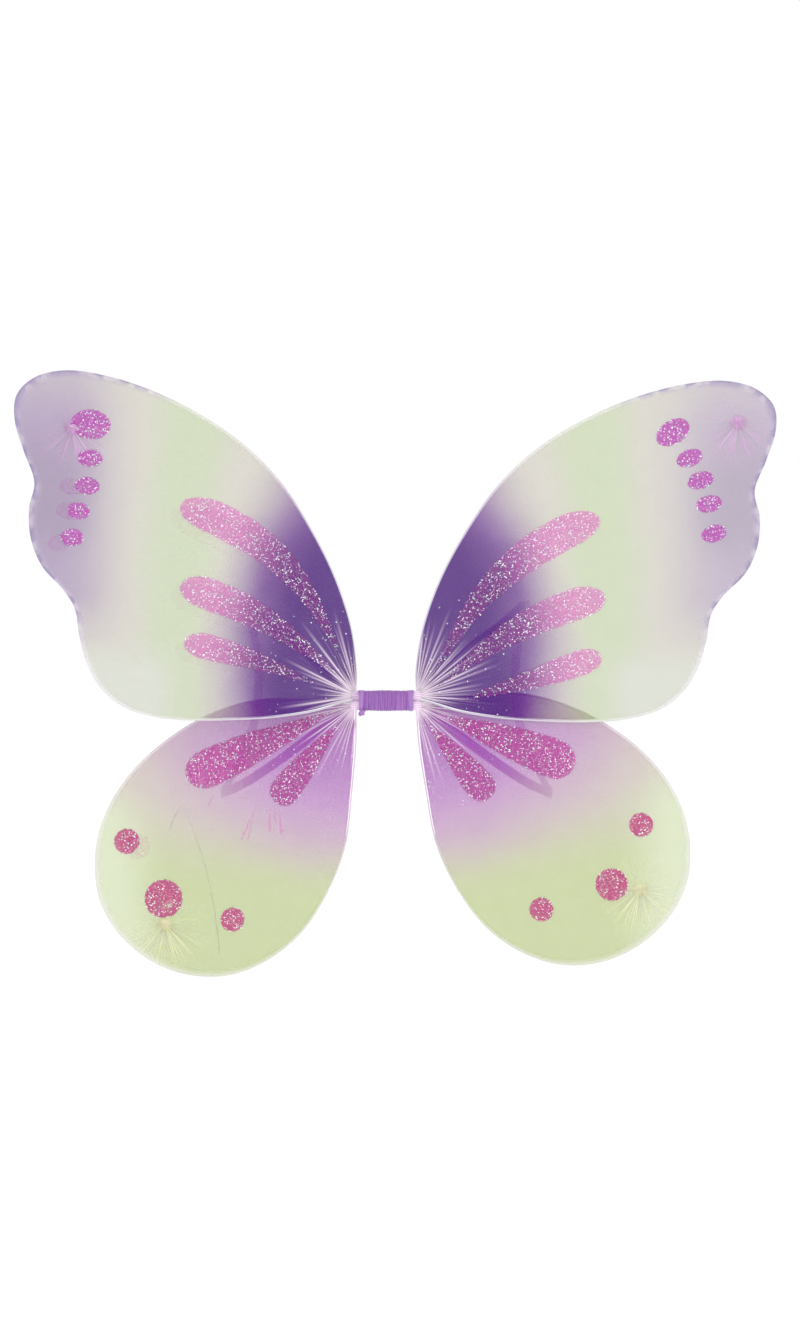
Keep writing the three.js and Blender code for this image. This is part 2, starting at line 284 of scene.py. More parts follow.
# ---- shader expressions -----------------------------------------------------------------------
@dataclass(frozen=True)
class Value:
    """One number that changes over a surface; its operators add Math nodes."""

    shader: "Shader"
    socket: bpy.types.NodeSocket

    def _math(self, operation: str, *others: Link, swap: bool = False) -> "Value":
        """A Math node on this value and others.

        Args:
            operation: The node's operation.
            others: The other values or numbers.
            swap: Whether the others come before this value.

        Returns:
            The node's result.
        """
        terms = [*others, self] if swap else [self, *others]
        node = self.shader.node(
            "ShaderNodeMath", {"operation": operation}, dict(enumerate(terms))
        )
        return Value(self.shader, node.outputs[0])

    def __add__(self, other: Link) -> "Value":
        """The sum."""
        return self._math("ADD", other)

    def __sub__(self, other: Link) -> "Value":
        """The difference."""
        return self._math("SUBTRACT", other)

    def __rsub__(self, other: Link) -> "Value":
        """The difference, with this value taken away."""
        return self._math("SUBTRACT", other, swap=True)

    def __mul__(self, other: Link) -> "Value":
        """The product."""
        return self._math("MULTIPLY", other)

    def __truediv__(self, other: Link) -> "Value":
        """The quotient."""
        return self._math("DIVIDE", other)

    def __pow__(self, other: Link) -> "Value":
        """The power."""
        return self._math("POWER", other)

    __radd__ = __add__
    __rmul__ = __mul__

    def limited(self, high: float) -> "Value":
        """The value, but never above high."""
        return self._math("MINIMUM", high)

    def wave(self) -> "Value":
        """The sine, from 0 to 1 instead of -1 to 1."""
        return self._math("SINE") * 0.5 + 0.5

    def root(self) -> "Value":
        """The square root."""
        return self._math("SQRT")

    def step(self, low: float, high: float) -> "Value":
        """A soft step between two values, which falls where high is below low.

        Args:
            low: Where it is 0.
            high: Where it is 1.

        Returns:
            The step's height.
        """
        node = self.shader.node(
            "ShaderNodeMapRange",
            {"interpolation_type": "SMOOTHSTEP"},
            {"Value": self, "From Min": min(low, high), "From Max": max(low, high),
             "To Min": float(low > high), "To Max": float(low < high)},
        )
        return Value(self.shader, node.outputs["Result"])


class Shader:
    """A material's node tree, filled in by expressions."""

    def __init__(self, name: str) -> None:
        """Starts an empty node material.

        Args:
            name: The material's name.
        """
        self.material = bpy.data.materials.new(name)
        self.material.use_nodes = True
        self.tree = self.material.node_tree
        self.tree.nodes.clear()

    def node(
        self,
        kind: str,
        settings: Mapping[str, object] | None = None,
        inputs: Mapping[str | int, Link] | None = None,
    ) -> bpy.types.Node:
        """Any node, with its settings set first and its sockets fed after them.

        Args:
            kind: The node's type.
            settings: The node's own settings by name; stops is a ramp's places and colours.
            inputs: Numbers, colours, sockets or Values by the socket's name, number or identifier.

        Returns:
            The node.
        """
        made = self.tree.nodes.new(kind)
        for name, value in (settings or {}).items():
            if name == "stops":
                self._set_stops(made.color_ramp, value)
            else:
                setattr(made, name, value)
        for name, value in (inputs or {}).items():
            socket = made.inputs[name] if isinstance(name, int) else self._socket(made, name)
            value = value.socket if isinstance(value, Value) else value
            if isinstance(value, bpy.types.NodeSocket):
                self.tree.links.new(value, socket)
            else:
                socket.default_value = value
        return made

    @staticmethod
    def _set_stops(ramp: bpy.types.ColorRamp, stops: Sequence[tuple]) -> None:
        """Gives a ramp its stops.

        Args:
            ramp: A ramp with its first two stops.
            stops: Each stop's place, from 0 to 1, and its colour.
        """
        for extra in range(len(stops) - 2):
            ramp.elements.new((extra + 1) / len(stops))
        for element, (place, shade) in zip(ramp.elements, stops, strict=True):
            element.position = place
            element.color = shade

    @staticmethod
    def _socket(node: bpy.types.Node, name: str) -> bpy.types.NodeSocket:
        """A node's input by its identifier, or else by its name."""
        by_identifier = [s for s in node.inputs if s.identifier == name]
        return by_identifier[0] if by_identifier else node.inputs[name]

    def mark(self, name: str) -> Value:
        """A number that the mesh carries at its points."""
        node = self.node("ShaderNodeAttribute", {"attribute_name": name})
        return Value(self, node.outputs["Fac"])

    def map(self, name: str) -> tuple[bpy.types.NodeSocket, Value, Value]:
        """Reads a UV map, which is in metres.

        Args:
            name: The map's name.

        Returns:
            The map's vector in metres, and its two coordinates in millimetres.
        """
        vector = self.node("ShaderNodeUVMap", {"uv_map": name}).outputs["UV"]
        parts = self.node("ShaderNodeSeparateXYZ", inputs={"Vector": vector})
        return vector, Value(self, parts.outputs[0]) / MM, Value(self, parts.outputs[1]) / MM

    def place(self) -> bpy.types.NodeSocket:
        """The point in the part's frame, in metres."""
        return self.node("ShaderNodeTexCoord").outputs["Object"]

    def vector(self, *parts: Link) -> bpy.types.NodeSocket:
        """A vector of three values or numbers."""
        return self.node("ShaderNodeCombineXYZ", inputs=dict(enumerate(parts))).outputs[0]

    def direction(self, u: Link, v: Link, stretch: float) -> bpy.types.NodeSocket:
        """The direction of u, v from the map's middle, which has no seam as an angle has.

        Args:
            u: The first coordinate.
            v: The second coordinate.
            stretch: The length of the vector.

        Returns:
            The vector.
        """
        flat = self.vector(u, v, 0.0)
        aimed = self.node("ShaderNodeVectorMath", {"operation": "NORMALIZE"}, {0: flat})
        longer = self.node(
            "ShaderNodeVectorMath", {"operation": "SCALE"},
            {0: aimed.outputs[0], "Scale": stretch},
        )
        return longer.outputs[0]

    def noise(self, vector: Link, scale: float, detail: float = 2.0) -> Value:
        """Soft noise about 0.5.

        Args:
            vector: Where the noise is read.
            scale: How many bumps there are to a unit of the vector.
            detail: How many finer layers lie over it.

        Returns:
            The noise.
        """
        node = self.node(
            "ShaderNodeTexNoise", inputs={"Vector": vector, "Scale": scale, "Detail": detail}
        )
        return Value(self, node.outputs["Fac"])

    def flecks(self, vector: Link, scale: float) -> Value:
        """Small cells, each with a random number.

        Args:
            vector: Where the cells are read.
            scale: How many cells there are to a unit of the vector.

        Returns:
            The number of the cell, from 0 to 1.
        """
        node = self.node(
            "ShaderNodeTexVoronoi", {"feature": "F1"}, {"Vector": vector, "Scale": scale}
        )
        parts = self.node("ShaderNodeSeparateColor", inputs={"Color": node.outputs["Color"]})
        return Value(self, parts.outputs[0])

    def mix(self, share: Link, one: Link, other: Link, blend: str = "MIX") -> bpy.types.NodeSocket:
        """One colour turned into another, or blended with it.

        Args:
            share: How much of the other colour there is.
            one: The colour underneath.
            other: The colour on top.
            blend: The way that they are blended.

        Returns:
            The colour.
        """
        node = self.node(
            "ShaderNodeMix",
            {"data_type": "RGBA", "blend_type": blend, "clamp_factor": True},
            {"Factor_Float": share, "A_Color": one, "B_Color": other},
        )
        return next(s for s in node.outputs if s.identifier == "Result_Color")

    def bump(self, height: Link, depth_mm: float) -> bpy.types.NodeSocket:
        """A normal bent as if the surface rose by a height times a depth.

        Args:
            height: The height, from 0 to 1.
            depth_mm: The depth, in millimetres.

        Returns:
            The normal.
        """
        node = self.node(
            "ShaderNodeBump",
            inputs={"Height": height, "Distance": depth_mm * MM, "Strength": 1.0},
        )
        return node.outputs["Normal"]

    def finish(self, **inputs: Link) -> bpy.types.Material:
        """Ends the tree in one Principled shader.

        Args:
            inputs: What feeds the shader, by its sockets' names in small letters.

        Returns:
            The material.
        """
        titles = {name: name.replace("_", " ").title().replace("Ior", "IOR") for name in inputs}
        named = {titles[name]: value for name, value in inputs.items()}
        shader = self.node("ShaderNodeBsdfPrincipled", inputs=named)
        self.node("ShaderNodeOutputMaterial", inputs={"Surface": shader.outputs[0]})
        return self.material


def dye(red: int, green: int, blue: int) -> tuple[float, float, float, float]:
    """A dye's colour as light, by the screen's curve: a power of 2.4 with a straight foot.

    Args:
        red: Its red on a swatch card, 0 to 255.
        green: Its green.
        blue: Its blue.

    Returns:
        Red, green, blue and 1, as light.
    """
    card = np.array([red, green, blue]) / 255
    light = np.where(card > 0.04045, ((card + 0.055) / 1.055) ** 2.4, card / 12.92)
    return (*light.tolist(), 1.0)


def thread(card: tuple[int, int, int], cover: float) -> tuple[float, float, float, float]:
    """The colour of a sheer double layer's threads, from what it shows over white.

    Over white, the layers show cover times the threads' colour and the rest white, so the
    threads' own colour is what is left of the shown one, over the cover.

    Args:
        card: The colour seen over white, 0 to 255.
        cover: The share of the white that both layers hide together.

    Returns:
        The threads' colour as light.
    """
    seen = np.array(dye(*card)[:3])
    return (*np.clip((seen - (1 - cover)) / cover, 0.012, 1).tolist(), 1.0)


def layer_alpha(cover: float) -> float:
    """The alpha of one of two equal layers that hide cover of what is behind them."""
    return 1 - math.sqrt(1 - cover)


# ---- finishes -----------------------------------------------------------------------------------
@dataclass(frozen=True)
class Finish:
    """A finish is a name and a way to make its material, which is made once."""

    name: str

    @cache
    def material(self) -> bpy.types.Material:
        """The finish's material."""
        return self.made()

    def made(self) -> bpy.types.Material:
        """Makes the material; each finish has its own way."""
        raise NotImplementedError


@dataclass(frozen=True)
class Spot:
    """A soft field of colour on the cloth: dye, and on the pleats a painted highlight.

    Attributes:
        card: What the two layers show over white, 0 to 255.
        cover: The share of the white that they hide together.
    """

    card: tuple[int, int, int]
    cover: float


@dataclass(frozen=True)
class SheerNylon(Finish):
    """Stretched sheer nylon knit, sprayed with soft fields of dye.

    The cloth's map gives u and v from the wing's root, and the toe's map gives them from the
    gathered toe. Creases is the mark of the root's pleats and hem the mark of the edge that is
    pulled round the wire.

    Attributes:
        toe: The pale of the puckers round the tied toe: denser cloth with a painted highlight.
        root: The root's pleats painted pale: a painted highlight.
        knit_mm: The knit's pitch.
    """

    toe: Spot
    root: Spot
    knit_mm: float = 0.9

    def fields(
        self, shader: Shader, u: Value, v: Value, drift: Value
    ) -> list[tuple[Value, Spot]]:
        """The fields of dye, each with its strength, painted one over another."""
        raise NotImplementedError

    def ground(self) -> Spot:
        """The dye under all the fields."""
        raise NotImplementedError

    def made(self) -> bpy.types.Material:
        """Dye, pleats, knit and hem, as colour, alpha, roughness and a fine bump.

        Returns:
            The nylon's material.
        """
        shader = Shader(self.name)
        cloth, u, v = shader.map("cloth")
        _, toe_u, toe_v = shader.map("toe")
        creases, hem = shader.mark("creases"), shader.mark("hem")
        drift = (shader.noise(cloth, 14.0) - 0.5) * 26.0

        ground = self.ground()
        colour: Link = thread(ground.card, ground.cover)
        alpha: Link = layer_alpha(ground.cover)
        for strength, spot in self.fields(shader, u, v, drift):
            colour = shader.mix(strength, colour, thread(spot.card, spot.cover))
            alpha = strength * layer_alpha(spot.cover) + (1 - strength) * alpha

        # Fine tension lines run out from the root and from the tied toe, and die away.
        reach = (u * u + v * v).root()
        fine_root = shader.noise(shader.direction(u, v, 1.0), 46.0, 3.0).step(0.47, 0.7)
        root_lines = fine_root * reach.step(80.0, 8.0)
        from_toe = (toe_u * toe_u + toe_v * toe_v).root()
        fine_toe = shader.noise(shader.direction(toe_u, toe_v, 1.0), 17.0, 3.0).step(0.46, 0.60)
        below = (toe_v * -1.0 - from_toe * 0.3).step(-12.0, 12.0) * 0.7 + 0.3
        toe_lines = fine_toe * from_toe.step(46.0, 1.0) * below
        toe_heart = from_toe.step(10.0, 0.5) ** 1.5
        pull = reach.step(21.0, 3.0) ** 1.3
        # Painted highlight: the root's pleats, fine lines and middle are painted pale.
        colour = shader.mix(root_lines * 0.26, colour, thread(self.root.card, 0.9))
        colour = shader.mix(creases * 1.05, colour, thread(self.root.card, 0.94))
        colour = shader.mix(pull * 0.80, colour, thread(self.root.card, 0.94))
        # The toe's puckers are paler, denser cloth with a painted highlight on them.
        colour = shader.mix(toe_lines * 0.85, colour, thread(self.toe.card, 0.9))
        colour = shader.mix(toe_heart * 1.1, colour, thread(self.toe.card, 0.9))
        gathered = creases * 0.40 + root_lines * 0.08 + pull * 0.45 + toe_lines * 0.28
        alpha = alpha + gathered + toe_heart * 0.55

        # The knit's two slanting courses let light through between them.
        pitch = 2 * math.pi / self.knit_mm
        courses = ((u + v * 0.45) * pitch).wave() * ((v - u * 0.25) * pitch).wave()
        mottle = shader.noise(cloth, 1500.0, 1.0)
        clouds = shader.noise(cloth, 60.0, 3.0)
        alpha = alpha * (courses * 0.24 + mottle * 0.60 + clouds * 0.08 + 0.60)
        colour = shader.mix((mottle - 0.40) * 0.35, colour, dye(250, 248, 250), "SOFT_LIGHT")
        dashes = shader.noise(cloth, 90.0, 1.0).step(0.36, 0.60) * 0.6 + 0.25
        tip = u.step(150.0, 225.0) * v.step(20.0, 80.0)
        colour = shader.mix(hem * 0.6, colour, dye(246, 243, 247))
        colour = shader.mix(hem * tip * dashes * 0.85, colour, dye(112, 82, 150))
        alpha = alpha + hem * 0.30
        return shader.finish(
            base_color=colour,
            alpha=alpha.limited(0.985),
            roughness=0.62 - creases * 0.14,
            sheen_weight=0.06,
            sheen_roughness=0.4,
            specular_ior_level=0.2,
            normal=shader.bump(courses * 0.25 + toe_lines * 1.2 + root_lines, 0.35),
        )


@dataclass(frozen=True)
class UpperNylon(SheerNylon):
    """The upper wings' dye: violet at the root, pale green in the middle and lilac at the tip."""

    tip_card: tuple[int, int, int] = (196, 186, 201)

    def ground(self) -> Spot:
        """Undyed cream."""
        return Spot((215, 212, 204), 0.60)

    def fields(
        self, shader: Shader, u: Value, v: Value, drift: Value
    ) -> list[tuple[Value, Spot]]:
        """Bands across the wing, oval about the root.

        Args:
            shader: The shader that the values belong to.
            u: Outwards from the root, in millimetres.
            v: Upwards from the root.
            drift: How far the fields' edges wander.

        Returns:
            Each field's strength, from 0 to 1, and its dye.
        """
        flat = (u * u + v * v * 0.29).root() + drift
        upright = (u * u + v * v * 0.09).root() + drift
        green = upright.step(122.0, 158.0) * upright.step(212.0, 172.0)
        lobe = v.step(48.0, 12.0) * u.step(150.0, 190.0)
        tip = (u + drift).step(192.0, 272.0) * (v + drift).step(24.0, 88.0)
        tip = tip * (v.step(285.0, 215.0) * 0.55 + 0.45)
        deep_tip = (u + drift).step(226.0, 270.0) * v.step(92.0, 145.0) * v.step(235.0, 175.0)
        return [
            (green, Spot((207, 215, 191), 0.62)),
            (lobe, Spot((217, 219, 210), 0.56)),
            (tip, Spot(self.tip_card, 0.62)),
            (deep_tip * 0.75, Spot(tuple(c - 14 for c in self.tip_card), 0.66)),
            (flat.step(150.0, 92.0), Spot((156, 126, 174), 0.80)),
            (flat.step(118.0, 66.0), Spot((100, 54, 134), 0.95)),
        ]


@dataclass(frozen=True)
class LowerNylon(SheerNylon):
    """The lower wings' dye: lilac at the root, cream in the middle and pale green below."""

    def ground(self) -> Spot:
        """Undyed grey cream."""
        return Spot((204, 194, 189), 0.64)

    def fields(
        self, shader: Shader, u: Value, v: Value, drift: Value
    ) -> list[tuple[Value, Spot]]:
        """Bands that run down the wing, with the pale outer edge dyed least.

        Args:
            shader: The shader that the values belong to.
            u: Outwards from the root, in millimetres.
            v: Upwards from the root.
            drift: How far the fields' edges wander.

        Returns:
            Each field's strength, from 0 to 1, and its dye.
        """
        flat = (u * u * 0.52 + v * v).root() + drift
        down = u * 0.25 - v + drift * 0.6
        edge = u.step(168.0, 226.0)
        return [
            (down.step(100.0, 184.0), Spot((195, 204, 162), 0.66)),
            (edge * down.step(90.0, 140.0), Spot((212, 219, 192), 0.58)),
            (flat.step(158.0, 74.0), Spot((193, 154, 198), 0.74)),
            (flat.step(98.0, 36.0), Spot((175, 126, 187), 0.82)),
        ]


@dataclass(frozen=True)
class GlitterPrint(Finish):
    """Glitter glue printed through a stencil: sparse flecks in a clear magenta binder.

    The edge mark is the distance in from the print's outline, in millimetres.

    Attributes:
        binder: The glue's colour.
        stained: Its colour where the dye under it is dark.
        cover: How much one face of the print hides.
        gaps: How much of the print is missing.
        grain_mm: The size of its flecks.
    """

    binder: tuple[int, int, int]
    stained: tuple[int, int, int]
    cover: float
    gaps: float = 0.0
    grain_mm: float = 0.6

    def made(self) -> bpy.types.Material:
        """Grainy glue with a ragged outline, thin at its end and stained by the dye under it.

        Returns:
            The print's material.
        """
        shader = Shader(self.name)
        cloth, u, v = shader.map("cloth")
        edge, thin, worn = (shader.mark(name) for name in ("edge", "thin", "worn"))
        chance = shader.flecks(cloth, 1 / (self.grain_mm * MM))
        second = shader.flecks(cloth, 0.7 / (self.grain_mm * MM))
        over_dark = (u * u + v * v * 0.29).root().step(140.0, 82.0)
        glue = shader.mix(over_dark, dye(*self.binder), dye(*self.stained))
        pale = chance.step(0.62, 0.90) * 0.32
        deep = second.step(0.40, 0.10) * 0.35
        colour = shader.mix(pale, glue, dye(232, 150, 214))
        colour = shader.mix(deep, colour, dye(132, 30, 110))
        ragged = (edge + (second - 0.55) * 1.9).step(-0.1, 0.5)
        patchy = (second + 0.35 - self.gaps - thin).step(0.0, 0.3)
        patchy = patchy * (second + 0.9 - worn * 1.2).step(0.1, 0.5)
        blotches = shader.noise(cloth, 110.0, 3.0).step(0.26, 0.52) * 0.30 + 0.70
        alpha = (self.cover + pale * 0.25 + deep * 0.25) * ragged * patchy * blotches
        return shader.finish(
            base_color=colour,
            alpha=alpha,
            roughness=0.52 - pale * 0.3,
            coat_weight=0.10,
            coat_roughness=0.3,
            specular_ior_level=0.3,
            # Painted light: the glue glows faintly in its own colour.
            emission_color=glue,
            emission_strength=0.14,
            normal=shader.bump(chance * 0.6 + second * 0.4, 0.12),
        )


@dataclass(frozen=True)
class GlitterFlake(Finish):
    """Cut film flakes in white, mint, lilac and pink, each of one tone."""

    def made(self) -> bpy.types.Material:
        """Each flake's tone mark picks its colour from a ramp.

        Returns:
            The flakes' material.
        """
        shader = Shader(self.name)
        tone = shader.mark("tone")
        # The last stop paints a few flakes dark grey: painted shade.
        stops = [
            (0.0, dye(250, 250, 253)), (0.46, dye(200, 246, 226)), (0.68, dye(146, 216, 190)),
            (0.82, dye(216, 212, 248)), (0.94, dye(96, 110, 120)),
        ]
        ramp = shader.node("ShaderNodeValToRGB", {"stops": stops}, {"Fac": tone})
        ramp.color_ramp.interpolation = "CONSTANT"
        scratches = shader.noise(shader.place(), 2400.0, 2.0)
        return shader.finish(
            base_color=shader.mix(scratches * 0.35, ramp.outputs["Color"], dye(255, 255, 255)),
            metallic=0.3,
            roughness=scratches * 0.2 + 0.12,
            coat_weight=0.5,
            normal=shader.bump(scratches, 0.03),
        )


@dataclass(frozen=True)
class CoatedWire(Finish):
    """Spring wire in a thin white coat, with faint drawing lines along it."""

    def made(self) -> bpy.types.Material:
        """Lines along the wire and scuffs; the wire's map runs along it and round it.

        Returns:
            The wire's material.
        """
        shader = Shader(self.name)
        along, _, around = shader.map("cloth")
        lines = shader.noise(shader.vector(0.0, around * 6.0, 0.0), 1.0, 2.0)
        scuffs = shader.noise(along, 320.0, 4.0).step(0.52, 0.72)
        colour = shader.mix(scuffs * 0.25, dye(247, 245, 248), dye(222, 216, 224))
        return shader.finish(
            base_color=colour,
            roughness=0.30 + scuffs * 0.2,
            coat_weight=0.2,
            normal=shader.bump(lines + scuffs * 0.6, 0.03),
        )


@dataclass(frozen=True)
class PlainWire(Finish):
    """The straight wire ends in the bar, which carry no map of their own."""

    def made(self) -> bpy.types.Material:
        """A white coat with scuffs in the part's frame.

        Returns:
            The wire ends' material.
        """
        shader = Shader(self.name)
        scuffs = shader.noise(shader.place(), 400.0, 4.0).step(0.5, 0.7)
        return shader.finish(
            base_color=shader.mix(scuffs * 0.3, dye(244, 242, 246), dye(210, 204, 214)),
            roughness=0.32 + scuffs * 0.2,
            normal=shader.bump(scuffs, 0.03),
        )


@dataclass(frozen=True)
class WoundRibbon(Finish):
    """Woven ribbon wound in many turns: fine threads, paler on the last turn at each end."""

    def made(self) -> bpy.types.Material:
        """Threads and shaded edges; turn rises over each turn and last marks the end turns.

        Returns:
            The ribbon's material.
        """
        shader = Shader(self.name)
        cloth, along, around = shader.map("cloth")
        turn, last = shader.mark("turn"), shader.mark("last")
        threads = (around * (2 * math.pi / 0.42)).wave()
        cords = (along * (2 * math.pi / 0.36)).wave()
        tone = shader.noise(shader.vector(along * 0.9, around * 0.05, 0.0), 1.0, 3.0)
        fuzz = shader.noise(cloth, 900.0, 3.0)
        colour = shader.mix(tone.step(0.35, 0.70), dye(122, 70, 150), dye(158, 102, 180))
        colour = shader.mix(last * 0.60, colour, dye(170, 126, 192))
        # Painted shade: each turn's edge is painted dark.
        colour = shader.mix(turn.step(0.80, 1.0) * 0.50, colour, dye(92, 50, 122))
        colour = shader.mix(threads * cords * 0.22, colour, dye(190, 146, 208))
        colour = shader.mix(fuzz.step(0.5, 0.8) * 0.25, colour, dye(196, 160, 214))
        return shader.finish(
            base_color=colour,
            roughness=0.55 + fuzz * 0.2,
            sheen_weight=0.4,
            sheen_roughness=0.35,
            normal=shader.bump(threads * 0.4 + cords * 0.4 + fuzz * 0.5, 0.12),
        )


@dataclass(frozen=True)
class GatheredNylon(Finish):
    """The sleeves' pleated roots and toes: pale nylon, its folds painted with highlight and shade.

    Attributes:
        pale: The colour on the folds' crests, a painted highlight.
        dyed: The lilac between the folds, darkened there as painted shade.
    """

    pale: tuple[int, int, int]
    dyed: tuple[int, int, int]

    def made(self) -> bpy.types.Material:
        """Painted highlight on the folds and painted shade between them, by the creases mark.

        Returns:
            The gathers' material.
        """
        shader = Shader(self.name)
        cloth = shader.place()
        creases = shader.mark("creases")
        fibres = shader.noise(cloth, 1800.0, 3.0)
        # Painted highlight on the folds' crests and painted shade between them.
        colour = shader.mix(creases, dye(*self.dyed), dye(*self.pale))
        colour = shader.mix(fibres * 0.25, colour, dye(255, 250, 255), "SOFT_LIGHT")
        return shader.finish(
            base_color=colour,
            roughness=0.55 + fibres * 0.15,
            sheen_weight=0.3,
            normal=shader.bump(fibres, 0.08),
        )


@dataclass(frozen=True)
class RibbedElastic(Finish):
    """Flat knitted elastic with ribs along it and fine crossing threads."""

    def made(self) -> bpy.types.Material:
        """Ribs and crossing threads; the map runs along the band and across it.

        Returns:
            The elastic's material.
        """
        shader = Shader(self.name)
        cloth, along, across = shader.map("cloth")
        ribs = (across * (2 * math.pi / 0.95)).wave()
        loops = (along * (2 * math.pi / 0.7) + ribs * 1.5).wave()
        wear = shader.noise(cloth, 120.0, 3.0)
        # Painted shade: the grooves between ribs and loops are painted grey.
        colour = shader.mix(ribs * loops, dye(206, 202, 210), dye(246, 245, 248))
        colour = shader.mix(wear.step(0.55, 0.75) * 0.3, colour, dye(214, 208, 214))
        return shader.finish(
            base_color=colour,
            roughness=0.7 + wear * 0.1,
            sheen_weight=0.2,
            # Painted light: the band glows faintly in its own colour.
            emission_color=colour,
            emission_strength=0.20,
            normal=shader.bump(ribs * 0.7 + loops * 0.3, 0.22),
        )


@dataclass(frozen=True)
class WoundThread(Finish):
    """Thread, or taped cloth, wound round a bundle along the part's X axis.

    Attributes:
        card: Its colour.
        pitch_mm: How far each turn steps along the bundle.
    """

    card: tuple[int, int, int]
    pitch_mm: float

    def made(self) -> bpy.types.Material:
        """Turns side by side with painted shade between them, and the strands' own twist.

        Returns:
            The winding's material.
        """
        shader = Shader(self.name)
        parts = shader.node("ShaderNodeSeparateXYZ", inputs={"Vector": shader.place()})
        x, z = (Value(shader, parts.outputs[k]) / MM for k in (0, 2))
        turns = ((x + z * 0.04) * (2 * math.pi / self.pitch_mm)).wave()
        twist = shader.noise(shader.place(), 2600.0, 2.0)
        # Painted shade: the grooves between the turns are painted darker.
        shade = tuple(round(c * 0.72) for c in self.card)
        colour = shader.mix(turns * 0.7 + twist * 0.3, dye(*shade), dye(*self.card))
        return shader.finish(
            base_color=colour,
            roughness=0.66 + twist * 0.15,
            sheen_weight=0.2,
            normal=shader.bump(turns * 0.8 + twist * 0.3, 0.2),
        )


ROOT_PLEAT_HIGHLIGHT = Spot((249, 232, 244), 0.90)
UPPER_NYLON = UpperNylon("upper_nylon", toe=Spot((236, 190, 234), 0.9), root=ROOT_PLEAT_HIGHLIGHT)
UPPER_NYLON_DEEP = UpperNylon(
    "upper_nylon_deep", toe=Spot((236, 190, 234), 0.9), root=ROOT_PLEAT_HIGHLIGHT, tip_card=(186, 172, 194)
)
LOWER_NYLON = LowerNylon("lower_nylon", toe=Spot((250, 244, 206), 0.9), root=ROOT_PLEAT_HIGHLIGHT)
UPPER_DROP = GlitterPrint("glitter_drop", (214, 96, 186), (126, 38, 138), cover=0.30)
UPPER_OVAL = GlitterPrint("glitter_oval", (176, 58, 170), (176, 58, 170), cover=0.52)
LOWER_DROP = GlitterPrint("glitter_lower_drop", (180, 50, 150), (164, 40, 142), cover=0.54)
LOWER_DOT = GlitterPrint("glitter_dot", (180, 44, 108), (180, 44, 108), cover=0.56)
GHOST = GlitterPrint("glitter_behind", (222, 110, 210), (190, 100, 180), cover=0.13, gaps=0.55)
FAINT_GHOST = GlitterPrint(
    "glitter_faint_behind", (230, 170, 214), (200, 130, 190), cover=0.06, gaps=0.7
)
SMEAR = GlitterPrint("glitter_smear", (214, 84, 180), (214, 84, 180), cover=0.20, gaps=0.6)
# Painted shade: a faint grey sheet along each slack fold of the front layer.
FOLD_SHADE = GlitterPrint("slack_fold", (128, 130, 124), (128, 130, 124), cover=0.13, gaps=0.3)
FLAKES = GlitterFlake("glitter_flakes")
WIRE = CoatedWire("coated_wire")
TAIL_WIRE = PlainWire("coated_wire_ends")
RIBBON = WoundRibbon("wound_ribbon")
UPPER_GATHER = GatheredNylon("gathered_upper", pale=(243, 224, 240), dyed=(200, 164, 212))
LOWER_GATHER = GatheredNylon("gathered_lower", pale=(244, 226, 240), dyed=(214, 174, 214))
TOE_GATHER = GatheredNylon("gathered_toe", pale=(240, 222, 238), dyed=(196, 168, 206))
ELASTIC = RibbedElastic("ribbed_elastic")
THREAD = WoundThread("binding_thread", card=(226, 216, 234), pitch_mm=0.5)
TAPE = WoundThread("core_tape", card=(232, 228, 218), pitch_mm=6.0)


# ---- the wings ----------------------------------------------------------------------------------
class Side(Enum):
    """A side of the wearer, as seen from behind; its value is the way that it lies along X."""

    LEFT = -1
    RIGHT = 1


@dataclass(frozen=True)
class LoopShape:
    """A wire loop as it is bent, in millimetres from its root, and how its sleeve is gathered.

    Attributes:
        route: The wire's points once round, u and v, from the upper wire end to the lower.
        reach: How far the loop goes out from its root.
        bow: How far its far end is bowed towards the viewer.
        plane: How far its surface lies from the fold line's plane, past the root.
        pleats: How many pleats run out from its root on each layer.
        slot: The record's slot for its nylon.
    """

    route: tuple[tuple[float, float], ...]
    reach: float
    bow: float
    plane: float
    pleats: int
    slot: str

    @cached_property
    def wire(self) -> Array:
        """The wire's centreline, closely spaced, u and v."""
        return through(np.array(self.route), 24)


UPPER = LoopShape(
    route=(
        (-1.3, 1.7), (1.2, 2.6), (1.4, 7), (1.2, 20), (4.5, 44), (12, 72), (27, 108), (48, 144),
        (73, 178), (106, 208), (146, 232), (190, 250), (232, 260), (266, 262), (291, 255),
        (306, 240), (307, 220), (299, 196), (289, 170), (293, 148), (291, 124), (281, 102),
        (262, 83), (252, 68), (247, 44), (240, 22), (228, 3), (210, -11), (184, -19),
        (148, -22), (108, -21), (70, -18), (38, -12.5), (14, -5.2), (1.2, -1.7), (-1.3, -1.7),
    ),
    reach=310, bow=14, plane=-2.5, pleats=21, slot="upper_nylon",
)
LOWER = LoopShape(
    route=(
        (-1.3, 1.7), (1.2, 1.7), (14, 3.2), (42, 6.5), (74, 10), (104, 7), (136, -3), (168, -20),
        (196, -42), (217, -68), (229, -94), (233.5, -122), (231, -148), (219, -174), (194, -200),
        (162, -216), (128, -220), (96, -212), (64, -192), (38, -160), (18.5, -120), (9, -72),
        (3.5, -36), (1.4, -7), (1.2, -2.6), (-1.3, -1.7),
    ),
    reach=235, bow=8, plane=2.5, pleats=16, slot="lower_nylon",
)


